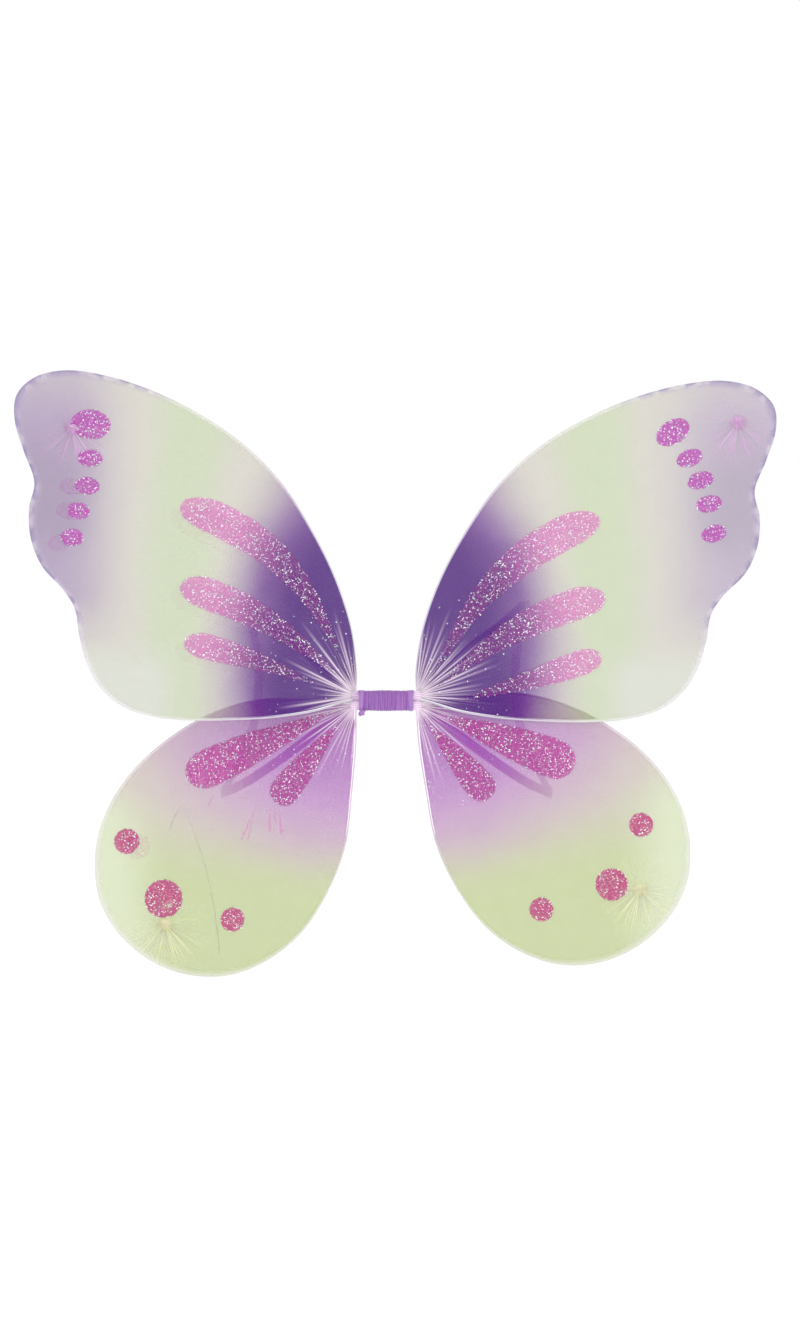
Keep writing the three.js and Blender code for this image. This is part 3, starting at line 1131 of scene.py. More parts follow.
@dataclass(frozen=True)
class Patch:
    """A long patch of a wing: a stencilled print, a smear of glue or the painted shade of a fold.

    Attributes:
        start: Its far end, u and v.
        end: Its end towards the root, u and v.
        width: Its greatest width.
        bulge: How far its middle line bulges to one side.
        tapers: Whether it is a drop that tapers to its end, and not an oval.
    """

    start: tuple[float, float]
    end: tuple[float, float]
    width: float
    bulge: float = 0.0
    tapers: bool = True

    @property
    def length(self) -> float:
        """The distance between its two ends."""
        return math.dist(self.start, self.end)

    def half_width(self, a: Array) -> Array:
        """Half its width along it: an ellipse, or a drop.

        A drop has a quarter of an ellipse for its nose, and past a fifth of its length it
        tapers by a power of 1.5.

        Args:
            a: Shares of its length, from its start.

        Returns:
            Half the width at each share.
        """
        if not self.tapers:
            return np.maximum(0.3, self.width / 2 * np.sqrt(np.clip(1 - (2 * a - 1) ** 2, 0, 1)))
        nose = np.sqrt(1 - (1 - np.minimum(a / 0.14, 1)) ** 2)
        taper = 1 - (np.maximum(a - 0.2, 0) / 0.8) ** 1.5
        return np.maximum(0.3, self.width / 2 * nose * taper)

    def at(self, a: Array, b: Array) -> tuple[Array, Array]:
        """Points of the patch, whose middle line bulges by the sine of half a turn.

        Args:
            a: Shares of its length, from its start.
            b: Places across it, from -1 to 1.

        Returns:
            Their u and v.
        """
        start, end = np.array(self.start), np.array(self.end)
        along = end - start
        across = np.array([along[1], -along[0]]) / self.length
        aside = b * self.half_width(a) + self.bulge * np.sin(math.pi * a)
        return tuple(start[k] + a * along[k] + aside * across[k] for k in (0, 1))

    def moved(self, du: float, dv: float) -> "Patch":
        """The same patch, shifted."""
        ends = [(p[0] + du, p[1] + dv) for p in (self.start, self.end)]
        return Patch(*ends, self.width, self.bulge, self.tapers)


def drop(
    far_u: float, far_v: float, near_u: float, near_v: float, width: float, bulge: float
) -> Patch:
    """A drop print, from its round far end to its point near the root."""
    return Patch((far_u, far_v), (near_u, near_v), width, bulge)


def oval(turned: float, u: float, v: float, length: float, height: float) -> Patch:
    """An oval print, drawn about its middle.

    Args:
        turned: Degrees that its outer end is turned up.
        u: Its middle, outwards from the root.
        v: Its middle, upwards.
        length: Its length.
        height: Its width across that.

    Returns:
        The print.
    """
    turn = math.radians(turned)
    du, dv = length / 2 * math.cos(turn), length / 2 * math.sin(turn)
    return Patch((u - du, v - dv), (u + du, v + dv), height, tapers=False)


def stencilled(drops: Sequence[Patch], ovals: Sequence[Patch]) -> dict[str, Patch]:
    """The prints by their nodes' names, numbered from the top down."""
    kinds = {"drop": drops, "oval": ovals}
    return {f"{k}_print_{n}": patch for k, row in kinds.items() for n, patch in enumerate(row, 1)}


@dataclass
class Wing:
    """One wing: its wire loop, its two-layer sleeve, its prints, its toe knot and its root.

    Attributes:
        name: The wing's name, which is its body's too.
        side: The wearer's side that it is on.
        shape: Its loop.
        sweep: Degrees that it is bent back from the line across the wearer.
        roll: Degrees that its tip is lowered.
        toe: Where its sleeve's toe is tied, u and v.
        nylon: Its sleeve's finish.
        prints: Its prints by node name.
        flat: The width and length of its sleeve's cloth before it was stretched, in metres.
        seed: What its pleats and flakes are drawn from.
        ghosts: Prints on its back layer that show through, each a print's name, du and dv.
        smears: Thin drawn-out traces of glue on the front layer.
        worn: Where a print has rubbed thin, u and v.
        folds: Where the front layer is slack, a narrow grey line of painted shade along each fold.
        wire_radius: Half the coated wire's thickness.
        cloth_over_wire: How far the sleeve's edge stands off the wire.
        layer_half_gap: Half the room between the two layers.
        onto_wire: How far in from the wire each layer starts to turn towards it.
        turn_weight: How much of the wire's length a turn of one radian counts for.
        print_thickness: The thickness of the glue.
        columns: How many columns of points the sleeve has round the loop.
        rows: How many points each layer has along a column.
    """

    name: str
    side: Side
    shape: LoopShape
    sweep: float
    roll: float
    toe: tuple[float, float]
    nylon: SheerNylon
    prints: dict[str, Patch]
    flat: tuple[float, float]
    seed: int
    ghosts: tuple[tuple[str, float, float], ...] = ()
    smears: tuple[Patch, ...] = ()
    worn: tuple[float, float] = (-100.0, 0.0)
    folds: tuple[Patch, ...] = ()
    wire_radius: float = 1.1
    cloth_over_wire: float = 0.2
    layer_half_gap: float = 0.8
    onto_wire: float = 7.0
    turn_weight: float = 120.0
    print_thickness: float = 0.14
    columns: int = 300
    rows: int = 64

    @property
    def lower_body(self) -> str:
        """The body of the same side's lower wing, which the bar carries."""
        return f"{self.side.name.lower()}_lower"

    @cached_property
    def root(self) -> Array:
        """The root's place in the frame: the fold line, at its two wire ends' height.

        Returns:
            The place in millimetres.
        """
        joint = next(j for j in frame["joints"] if j["child"] == self.lower_body)
        ends = [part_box(f"{self.name}_{which}_wire_tail") for which in ("outer", "inner")]
        height = np.mean([(low[2] + high[2]) / 2 for low, high in ends])
        return np.array([joint["pos_m"][0], joint["pos_m"][1], height]) / MM

    @cached_property
    def turn(self) -> Array:
        """The wing's turn: rolled about the line across it, then swept about the upright.

        Returns:
            The turn as a matrix of three rows.
        """
        roll = -self.side.value * math.radians(self.roll)
        sweep = -self.side.value * math.radians(self.sweep)
        cos, sin = math.cos, math.sin
        about_y = [[cos(roll), 0, sin(roll)], [0, 1, 0], [-sin(roll), 0, cos(roll)]]
        about_z = [[cos(sweep), -sin(sweep), 0], [sin(sweep), cos(sweep), 0], [0, 0, 1]]
        return np.array(about_z) @ np.array(about_y)

    @cached_property
    def pleats(self) -> Array:
        """The root's pleats, drawn at random inside the angle that the loop's root leaves.

        Returns:
            For each layer, rows of direction, length, width and height.
        """
        draw = np.random.default_rng(self.seed)
        count = self.shape.pleats
        fan = np.unwrap(np.arctan2(self.shape.wire[80:-80, 1], self.shape.wire[80:-80, 0]))
        high, low = fan[0] - 0.02, fan[-1] + 0.01
        slots = (np.arange(count)[None] + draw.uniform(0.2, 0.8, (2, count))) / count
        return np.stack([
            high + (low - high) * slots,
            draw.uniform(30, 88, (2, count)),
            draw.uniform(0.22, 0.60, (2, count)),
            draw.uniform(0.55, 1.0, (2, count)),
        ], axis=-1)

    def middle(self, u: Array) -> Array:
        """The mid-surface's depth: its plane, reached over the root, less the bow's parabola."""
        plane = self.shape.plane * smooth(u, 0, 8)
        return plane - self.shape.bow * (u / self.shape.reach) ** 2

    def creases(self, u: Array, v: Array, layer: int) -> Array:
        """How far each point is up a pleat, 0 to 1.

        A pleat is a straight ridge out from the root, a bell curve across its width, which
        widens slowly with the distance and dies away towards the pleat's length.

        Args:
            u: Outwards from the root.
            v: Upwards from the root.
            layer: 0 for the front layer, 1 for the back.

        Returns:
            The height of the highest pleat there.
        """
        reach, angle = np.hypot(u, v), np.arctan2(v, u)
        found = np.zeros_like(reach)
        for direction, length, width, height in self.pleats[layer]:
            aside = (angle - direction) * reach
            across = np.exp(-((aside / (width + 0.009 * reach)) ** 2))
            fade = smooth(reach, 1.0, 9.0) * (1 - smooth(reach, 0.25 * length, length))
            found = np.maximum(found, across * fade * height)
        return found

    def layer_depth(self, u: Array, v: Array, layer: int) -> Array:
        """The depth of the front or back layer away from the wire.

        The layers lie either side of the middle. The pleats stand out from them past the root,
        where the bar and the straps leave no room, and a dimple pulls the front layer to the
        tied toe.

        Args:
            u: Outwards from the root.
            v: Upwards from the root.
            layer: 0 for the front layer, 1 for the back.

        Returns:
            The depth from the fold line's plane.
        """
        outwards = (-1, 1)[layer]
        reach = np.hypot(u, v)
        spread = self.layer_half_gap + 0.3 * np.exp(-reach / 11)
        ridge = 0.85 * self.creases(u, v, layer) * smooth(reach, 5, 18)
        from_toe = np.hypot(u - self.toe[0], v - self.toe[1])
        dimple = (1.5, 0.0)[layer] * np.exp(-((from_toe / 6.5) ** 2))
        return self.middle(u) + outwards * (spread + ridge) + dimple

    def place(self, u: Array, v: Array, depth: Array) -> Array:
        """Points of the wing in the frame, in metres: mirrored to its side, turned and moved."""
        local = np.stack([self.side.value * u, depth, v], axis=-1)
        return (self.root + local @ self.turn.T) * MM

    @cached_property
    def rim(self) -> tuple[Array, Array]:
        """The wire's points that the sleeve's columns end at, and the way out from each.

        They are evenly spaced in the wire's length plus a weight for each radian that it turns
        about the root, so that the pleats near the root get columns of their own.

        Returns:
            The points and the ways out, u and v.
        """
        wire = self.shape.wire
        far = np.flatnonzero(np.hypot(wire[:, 0], wire[:, 1]) > 5.0)
        line = wire[far[0] : far[-1] + 1]
        angle = np.unwrap(np.arctan2(line[:, 1], line[:, 0]))
        turned = np.concatenate([[0], np.cumsum(np.abs(np.diff(angle)))])
        measure = lengths_along(line) + self.turn_weight * turned
        points = resampled(line, measure, self.columns)
        along = unit(np.gradient(points, axis=0))
        return points, np.stack([-along[:, 1], along[:, 0]], axis=1)

    def ride(self, piece: bpy.types.Object) -> bpy.types.Object:
        """Fixes a piece to the wing's body."""
        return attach(piece, self.name)

    def build_wire(self) -> bpy.types.Object:
        """The loop: a circle carried along the wire's line, in the wing's plane and depth.

        Returns:
            The piece.
        """
        line = self.shape.wire[::3]
        along = unit(np.gradient(line, axis=0))
        out = np.stack([-along[:, 1], along[:, 0]], axis=1)
        turn = np.linspace(0, 2 * math.pi, 14, endpoint=False)
        u = line[:, :1] + self.wire_radius * out[:, :1] * np.cos(turn)
        v = line[:, 1:] + self.wire_radius * out[:, 1:] * np.cos(turn)
        depth = self.middle(line[:, :1]) + self.wire_radius * np.sin(turn)
        length = lengths_along(line)[:, None] + 0 * turn
        around = self.wire_radius * turn[None] + 0 * length
        maps = {"cloth": np.stack([length, around], axis=-1) * MM}
        piece = Skin(f"{self.name}_loop", self.place(u, v, depth), maps).build()
        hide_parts(f"{self.name}_wire")
        return self.ride(dressed(piece, WIRE, "coated_wire"))

    def build_sleeve(self) -> bpy.types.Object:
        """The stocking: each column runs up the front, round the wire and back down behind.

        A front or back point is neck + b (rim - neck) at its layer's depth, which turns into
        the wire's front or back close to it; round the wire it is an arc of half a turn.

        Returns:
            The piece.
        """
        rim, out = self.rim
        angle = np.unwrap(np.arctan2(rim[:, 1], rim[:, 0]))
        share = (angle - angle[0]) / (angle[-1] - angle[0])
        neck = np.stack([np.full(len(rim), 0.8), 3.0 - 6.0 * share], axis=1)
        b = np.linspace(0, 1, self.rows) ** 1.35
        radius = self.wire_radius + self.cloth_over_wire
        u = neck[:, :1] + b * (rim[:, :1] - neck[:, :1])
        v = neck[:, 1:] + b * (rim[:, 1:] - neck[:, 1:])
        left = (1 - b) * np.linalg.norm(rim - neck, axis=1)[:, None]
        onto_wire = 1 - smooth(left, 0, self.onto_wire)
        depths, creases = [], []
        for layer, outwards in enumerate((-1, 1)):
            free = self.layer_depth(u, v, layer)
            held = self.middle(u) + outwards * radius
            depths.append(free + (held - free) * onto_wire)
            creases.append(self.creases(u, v, layer) * (1 - onto_wire))
        arc = np.linspace(0, math.pi, 9)[1:-1]
        arc_u = rim[:, :1] + radius * out[:, :1] * np.sin(arc)
        arc_v = rim[:, 1:] + radius * out[:, 1:] * np.sin(arc)
        arc_depth = self.middle(rim[:, :1]) - radius * np.cos(arc)

        def joined(front: Array, round_wire: Array, back: Array) -> Array:
            """A column's values: up the front, round the wire, and down the back."""
            return np.concatenate([front, round_wire, back[:, ::-1]], axis=1)

        hem = 1 - smooth(left, 0, 1.6)
        all_u, all_v = joined(u, arc_u, u), joined(v, arc_v, v)
        depth = joined(depths[0], arc_depth, depths[1])
        marks = {
            "creases": joined(creases[0], 0 * arc_u, creases[1]),
            "hem": joined(hem, 0 * arc_u + 1, hem),
        }
        maps = {
            "cloth": np.stack([all_u, all_v], axis=-1) * MM,
            "toe": np.stack([all_u - self.toe[0], all_v - self.toe[1]], axis=-1) * MM,
        }
        grid = self.place(all_u, all_v, depth)
        piece = Skin(f"{self.name}_nylon", grid, maps, marks).build()
        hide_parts(f"{self.name}_sleeve")
        return self.ride(dressed(piece, self.nylon, self.shape.slot))

    def patch_skin(self, name: str, shape: Patch, layer: int, lift: float) -> Skin:
        """A print, a smear or a fold as a thin plate that follows a layer of the cloth.

        Args:
            name: The piece's name.
            shape: Its outline.
            layer: 0 on the front layer, 1 on the back layer's inner side.
            lift: How far its back stands off the cloth, in millimetres.

        Returns:
            The plate: rings across it, over its front face and back along its rear.
        """
        a = (1 - np.cos(np.linspace(0, math.pi, max(12, int(shape.length / 1.6))))) / 2
        b = np.linspace(-1, 1, max(6, int(shape.width / 1.6)))
        along, across = np.meshgrid(a, b, indexing="ij")
        u, v = shape.at(along, across)
        surface = self.layer_depth(u, v, layer)
        front = self.place(u, v, surface - lift - self.print_thickness)
        back = self.place(u, v, surface - lift)
        from_ends = np.minimum(along, 1 - along) * shape.length * (0.5 if shape.tapers else 1.0)
        edge = np.minimum((1 - np.abs(across)) * shape.half_width(along), from_ends + 0.1)
        thin = smooth(along, 0.72, 1.0) if shape.tapers else 0 * along
        worn = np.exp(-(((u - self.worn[0]) ** 2 + (v - self.worn[1]) ** 2) / 30))

        def both(first: Array, second: Array | None = None) -> Array:
            """A ring's values: across the front face and back along the rear."""
            second = first if second is None else second
            return np.concatenate([first, second[:, ::-1]], axis=1)

        maps = {"cloth": both(np.stack([u, v], axis=-1) * MM)}
        marks = {"edge": both(edge), "thin": both(thin), "worn": both(worn)}
        return Skin(name, both(front, back), maps, marks)

    def build_prints(self) -> list[bpy.types.Object]:
        """The prints, the faint ones behind, the smears and the painted shade of the folds.

        Returns:
            The pieces.
        """
        made = []
        for name, shape in self.prints.items():
            node = f"{self.name}_{name}"
            piece = self.patch_skin(f"{node}_glitter", shape, 0, 0.06).build()
            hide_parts(node)
            made.append(self.ride(dressed(piece, self.print_finish(shape), "glitter_print")))
        for number, (name, du, dv) in enumerate(self.ghosts, 1):
            shape = self.prints[name].moved(du, dv)
            piece = self.patch_skin(f"{self.name}_ghost_print_{number}", shape, 1, 0.30).build()
            finish = FAINT_GHOST if shape.tapers else GHOST
            made.append(self.ride(dressed(piece, finish, "glitter_print")))
        for number, shape in enumerate(self.smears, 1):
            piece = self.patch_skin(f"{self.name}_smear_{number}", shape, 0, 0.03).build()
            made.append(self.ride(dressed(piece, SMEAR, "glitter_print")))
        # Painted shade: each slack fold is a faint grey plate on the front layer.
        for number, shape in enumerate(self.folds, 1):
            piece = self.patch_skin(f"{self.name}_fold_{number}", shape, 0, 0.03).build()
            made.append(self.ride(dressed(piece, FOLD_SHADE, self.shape.slot)))
        return made

    def print_finish(self, shape: Patch) -> GlitterPrint:
        """The glue that a print is made of, by its wing and by its outline.

        Args:
            shape: The print's outline.

        Returns:
            The finish.
        """
        if self.shape is UPPER:
            return UPPER_DROP if shape.tapers else UPPER_OVAL
        return LOWER_DROP if shape.tapers else LOWER_DOT

    def flake_places(self, draw: np.random.Generator) -> Array:
        """Where the flakes lie, u, v: one to about 6 square millimetres of print, and strays.

        In a print a place is drawn evenly over the box of its length and width and kept where
        it falls inside the outline; the strays lie along the root's pleats.

        Args:
            draw: What the places are drawn from.

        Returns:
            One row for each flake.
        """
        found = []
        for shape in self.prints.values():
            tries = int(shape.length * shape.width / 5.0)
            a, aside = draw.random(tries), draw.uniform(-1, 1, tries) * shape.width / 2
            half = shape.half_width(a) - 0.3
            kept = np.abs(aside) < half
            u, v = shape.at(a[kept], aside[kept] / shape.half_width(a[kept]))
            found.append(np.stack([u, v], axis=1))
        strays = 60
        reach = draw.uniform(14, 95, strays)
        angle = draw.choice(self.pleats[0, :, 0], strays) + draw.normal(0, 0.02, strays)
        found.append(np.stack([reach * np.cos(angle), reach * np.sin(angle)], axis=1))
        return np.vstack(found)

    def build_flakes(self) -> bpy.types.Object:
        """The loose flakes of glitter: low six-sided pyramids, tilted every way.

        Returns:
            The piece.
        """
        draw = np.random.default_rng(self.seed + 100)
        places = self.flake_places(draw)
        count = len(places)
        centre = self.place(
            places[:, 0], places[:, 1], self.layer_depth(places[:, 0], places[:, 1], 0) - 0.42
        )
        out = unit(np.array([0.0, -1.0, 0.0]) @ self.turn.T + draw.normal(0, 0.38, (count, 3)))
        side = unit(np.cross(out, draw.normal(0, 1, (count, 3))))
        other = np.cross(out, side)
        radius = (0.27 + 0.38 * draw.random((count, 1, 1)) ** 1.6) * MM
        turn = np.linspace(0, 2 * math.pi, 6, endpoint=False)[None, :, None]
        spoke = np.cos(turn) * side[:, None] + np.sin(turn) * other[:, None]
        ring = centre[:, None] + radius * spoke
        peak = (centre + out * 0.10 * MM)[:, None]
        points = np.concatenate([ring, peak], axis=1).reshape(-1, 3)
        corner = np.arange(6)
        sides = np.stack([corner, (corner + 1) % 6, np.full(6, 6)], axis=1)
        base = np.stack([np.zeros(4, int), np.arange(2, 6), np.arange(1, 5)], axis=1)
        one = np.vstack([sides, base])
        triangles = (one[None] + 7 * np.arange(count)[:, None, None]).reshape(-1, 3)
        marks = {"tone": np.repeat(draw.random(count), 7)}
        piece = made_object(f"{self.name}_flakes", points, triangles, {}, marks, False)
        return self.ride(dressed(piece, FLAKES, "glitter_print"))

    def build_root_gather(self) -> bpy.types.Object:
        """The sleeve's pleated end, from its binding out of the bar's mouth.

        Stations run along X; the profile is an ellipse with folds, 1 + 0.12 cos of 15 turns. It
        flares to the bar's height outside the mouth and goes flat into the sleeve's root.

        Returns:
            The piece, between the bar and the wing.
        """
        bar_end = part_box("centre_wrap")[1][0] / MM
        hinge = abs(self.root[0])
        x = np.linspace(bar_end - 4.6, hinge + 6.5, 22)
        share = smooth(x, bar_end - 1, hinge + 6.5)
        draw = np.random.default_rng(self.seed + 200)
        turn = np.linspace(0, 2 * math.pi, 90, endpoint=False)
        wander = 0.5 * np.sin(2 * turn + draw.uniform(0, 6)) + 0.35 * np.sin(5 * turn)
        folds = np.cos(15 * turn + wander)
        ripple = 1 + 0.12 * folds[None] * (0.5 + share[:, None])
        flare = smooth(x, bar_end - 0.6, hinge + 1.0)
        half_height = (3.4 + 0.9 * flare)[:, None] * ripple
        half_depth = (3.1 - 2.4 * share)[:, None] * ripple
        u = (x - hinge)[:, None] + 0 * turn
        away = 1 if self.shape is UPPER else -1
        v = half_height * np.cos(turn) + (0.8 * away * flare)[:, None]
        depth = self.middle(np.maximum(x - hinge, 0))[:, None] + half_depth * np.sin(turn)
        marks = {"creases": np.clip(0.5 + 0.5 * folds[None] + 0 * u, 0, 1)}
        finish = UPPER_GATHER if self.shape is UPPER else LOWER_GATHER
        piece = Skin(f"{self.name}_root_gather", self.place(u, v, depth), {}, marks).build()
        dressed(piece, finish, "gathered_nylon")
        start = np.array([self.side.value * bar_end, self.root[1], self.root[2]]) * MM
        end = np.array([self.side.value * (hinge + 2.4), self.root[1], self.root[2]]) * MM
        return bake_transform(piece, "bar", self.lower_body, start=tuple(start), end=tuple(end))

    def build_toe(self) -> bpy.types.Object:
        """The tied toe on the wearer's side: a tuft of folds with its thread's turns round it.

        Stations run out from the cloth; the profile's radius swells, narrows at the thread and
        flares at the cut end, times folds of 1 + 0.16 cos(13 turns).

        Returns:
            The piece.
        """
        draw = np.random.default_rng(self.seed + 300)
        height = np.linspace(0, 5.6, 40)
        outline = through(np.array([
            [0, 2.1], [0.5, 1.9], [1.2, 1.6], [2.0, 1.3], [2.7, 1.3], [3.5, 1.8], [4.6, 2.4],
            [5.6, 2.1],
        ]), 8)
        radius = np.interp(height, outline[:, 0], outline[:, 1])
        bound = np.exp(-(((height - 2.35) / 0.55) ** 2))
        radius = radius + 0.16 * bound * (1 + np.cos(height * 2 * math.pi / 0.34))
        turn = np.linspace(0, 2 * math.pi, 104, endpoint=False)
        folds = np.cos(13 * turn + 0.6 * np.sin(3 * turn + draw.uniform(0, 6)))
        ripple = 1 + 0.16 * folds[None] * (1 - bound[:, None])
        ragged = 0.35 * smooth(height, 4.2, 5.6)[:, None] * np.sin(7 * turn + 1)[None]
        u = self.toe[0] + radius[:, None] * ripple * np.cos(turn)
        v = self.toe[1] + radius[:, None] * ripple * np.sin(turn)
        base = self.middle(np.array(self.toe[0])) + self.layer_half_gap + 0.05
        depth = base + height[:, None] + ragged
        marks = {"creases": np.clip(0.5 + 0.5 * folds[None] * (1 - bound[:, None]) + 0 * u, 0, 1)}
        piece = Skin(f"{self.name}_toe_tuft", self.place(u, v, depth), {}, marks).build()
        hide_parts(f"{self.name}_toe_knot")
        return self.ride(dressed(piece, TOE_GATHER, "gathered_nylon"))

    def dress_inner_parts(self) -> None:
        """The wire ends and the binding inside the bar keep their own shapes."""
        for which in ("outer", "inner"):
            dressed(frame["nodes"][f"{self.name}_{which}_wire_tail"], TAIL_WIRE, "coated_wire")
        dressed(frame["nodes"][f"{self.name}_root_binding"], THREAD, "binding_thread")

    def build(self) -> None:
        """Makes the whole wing and works out the area of its sleeve's flat cloth."""
        self.build_wire()
        sleeve = self.build_sleeve()
        gather = self.build_root_gather()
        toe = self.build_toe()
        self.build_prints()
        self.build_flakes()
        self.dress_inner_parts()
        area = self.flat[0] * self.flat[1]


# ---- the bar and the straps ------------------------------------------------------------------
@dataclass
class CentreBar:
    """The bar between the wings, wound with ribbon over tape.

    Attributes:
        turn_width: How far each turn of ribbon steps along the bar.
        end_turn: The width of the slanted last turn at each end.
        fullness: The power of the section's outline, from 2 for an ellipse to a box.
        girth: The length of the ribbon once round the bar.
        stations: How many stations there are along the bar.
        around: How many points there are round it.
    """

    turn_width: float = 1.75
    end_turn: float = 4.4
    fullness: float = 3.4
    girth: float = 52.0
    stations: int = 260
    around: int = 120

    @cached_property
    def box(self) -> tuple[Array, Array]:
        """The wrap's lowest and highest corner, in millimetres."""
        low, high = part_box("centre_wrap")
        return np.array(low) / MM, np.array(high) / MM

    def build_ribbon(self) -> bpy.types.Object:
        """The wound ribbon.

        The section is a rounded box, |y/a|^n + |z/b|^n = 1. Its size grows over each turn's
        width and steps back at the turn's edge, the turns wander a little round the bar, and at
        both ends a last slanted turn lies over the others before the wall turns into the mouth.

        Returns:
            The piece.
        """
        low, high = self.box
        middle, half = (low + high) / 2, (high - low) / 2
        draw = np.random.default_rng(7)
        x = np.linspace(-half[0], half[0], self.stations)
        turn = np.linspace(0, 2 * math.pi, self.around, endpoint=False)
        power = 2 / self.fullness
        y = np.sign(np.cos(turn)) * np.abs(np.cos(turn)) ** power
        z = np.sign(np.sin(turn)) * np.abs(np.sin(turn)) ** power
        slow = 0.28 * np.sin(turn[None] + x[:, None] * 0.21)
        wander = slow + 0.16 * np.sin(3 * turn[None] + x[:, None] * 0.5)
        phase = (x[:, None] + wander) / self.turn_width + turn[None] / (2 * math.pi)
        number = np.floor(phase).astype(int)
        rise = phase - number
        heights = draw.uniform(-0.10, 0.14, 200)[number + 60]
        slant = self.end_turn * (1 + 0.22 * np.sin(turn[None] + 0.6))
        last = smooth(np.abs(x[:, None]) - (half[0] - slant), -0.18, 0.18)
        profile = 0.26 * (rise - 0.8) * (1 - last) + heights * (1 - last) + last * 0.22
        fine = 0.05 * np.sin(x[:, None] * 9 + 2 * np.sin(2 * turn[None])) * last
        near_end = smooth(np.abs(x), half[0] - 6, half[0])
        sag = -0.25 * smooth(np.abs(x), 4, half[0] - 6) * (1 - near_end)
        grow = (profile + fine + sag[:, None] - 0.05) / 8
        wall = [(0.08, 0.935), (0.04, 0.895), (-0.7, 0.865), (-4.2, 0.86)]
        skew = np.sin(turn[None] + 0.9) * 0.55 + np.sin(2 * turn[None]) * 0.25
        ends = [self.mouth_ring(sign, wall, half, y, z, skew) for sign in (-1, 1)]
        rounding = 0.045 * smooth(np.abs(x), half[0] - 1.3, half[0])[:, None] ** 2
        size = 1 + grow - rounding
        pushed = np.sign(x)[:, None] * skew * smooth(np.abs(x), half[0] - 7, half[0])[:, None]
        body = np.stack([
            x[:, None] + pushed + 0 * grow, half[1] * y[None] * size, half[2] * z[None] * size,
        ], axis=-1)
        grid = np.concatenate([ends[0][::-1], body, ends[1]], axis=0) + middle
        pad = len(wall)
        marks = {
            "turn": np.pad(rise * (1 - last), ((pad, pad), (0, 0)), mode="edge"),
            "last": np.pad(last, ((pad, pad), (0, 0)), mode="edge"),
        }
        girth = turn[None] / (2 * math.pi) * self.girth + 0 * grid[..., 0]
        maps = {"cloth": np.stack([grid[..., 0], girth], axis=-1) * MM}
        piece = Skin("wound_ribbon", grid * MM, maps, marks).build()
        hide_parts("centre_wrap")
        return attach(dressed(piece, RIBBON, "ribbon"), "bar")

    @staticmethod
    def mouth_ring(
        sign: int, wall: Sequence[tuple[float, float]], half: Array, y: Array, z: Array,
        skew: Array,
    ) -> Array:
        """The stations that turn the ribbon's wall into the mouth at one end of the bar.

        Args:
            sign: The end's way along X.
            wall: Each station's step out past the bar's end, and its size.
            half: Half the bar's length, depth and height.
            y: The section's depth round it, from -1 to 1.
            z: The section's height round it, from -1 to 1.
            skew: How far the end's edge leans along the bar, round it.

        Returns:
            The stations' points.
        """
        steps = np.array(wall)
        x = sign * (half[0] + steps[:, :1] + skew)
        return np.stack([x, half[1] * y * steps[:, 1:], half[2] * z * steps[:, 1:]], axis=-1)

    def build_ribbon_end(self) -> bpy.types.Object:
        """The ribbon's free end: a short flat tab that hangs below the bar's left end.

        A thin rounded strip, carried down a line that curls off the bar's lower edge.

        Returns:
            The piece.
        """
        low, high = self.box
        path = through(np.array([
            [low[0] + 4.6, low[1] + 1.0, low[2] + 1.2], [low[0] + 3.2, low[1] + 0.1, low[2] - 0.2],
            [low[0] + 2.4, low[1] + 0.2, low[2] - 2.2], [low[0] + 3.0, low[1] + 0.6, low[2] - 3.8],
        ]), 10)
        turn = np.linspace(0, 2 * math.pi, 24, endpoint=False)
        width = 2.7 + 0.35 * np.sin(np.linspace(0, 5, len(path)))[:, None]
        across = np.sign(np.cos(turn)) * np.abs(np.cos(turn)) ** 0.6
        through_it = np.sign(np.sin(turn)) * np.abs(np.sin(turn)) ** 0.6
        grid = np.stack([
            path[:, :1] + width * across,
            path[:, 1:2] + 0.28 * through_it + 0.18 * np.sin(3 * across),
            path[:, 2:] + 0.25 * width * across,
        ], axis=-1)
        flat = np.stack([grid[..., 0], grid[..., 2]], axis=-1) * MM
        marks = {"turn": 0 * grid[..., 0], "last": 0 * grid[..., 0] + 0.6}
        piece = Skin("ribbon_free_end", grid * MM, {"cloth": flat}, marks).build()
        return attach(dressed(piece, RIBBON, "ribbon"), "bar")

    def build(self) -> None:
        """Makes the ribbon and dresses the tape under it."""
        self.build_ribbon()
        self.build_ribbon_end()
        dressed(frame["nodes"]["core_tape"], TAPE, "core_tape")


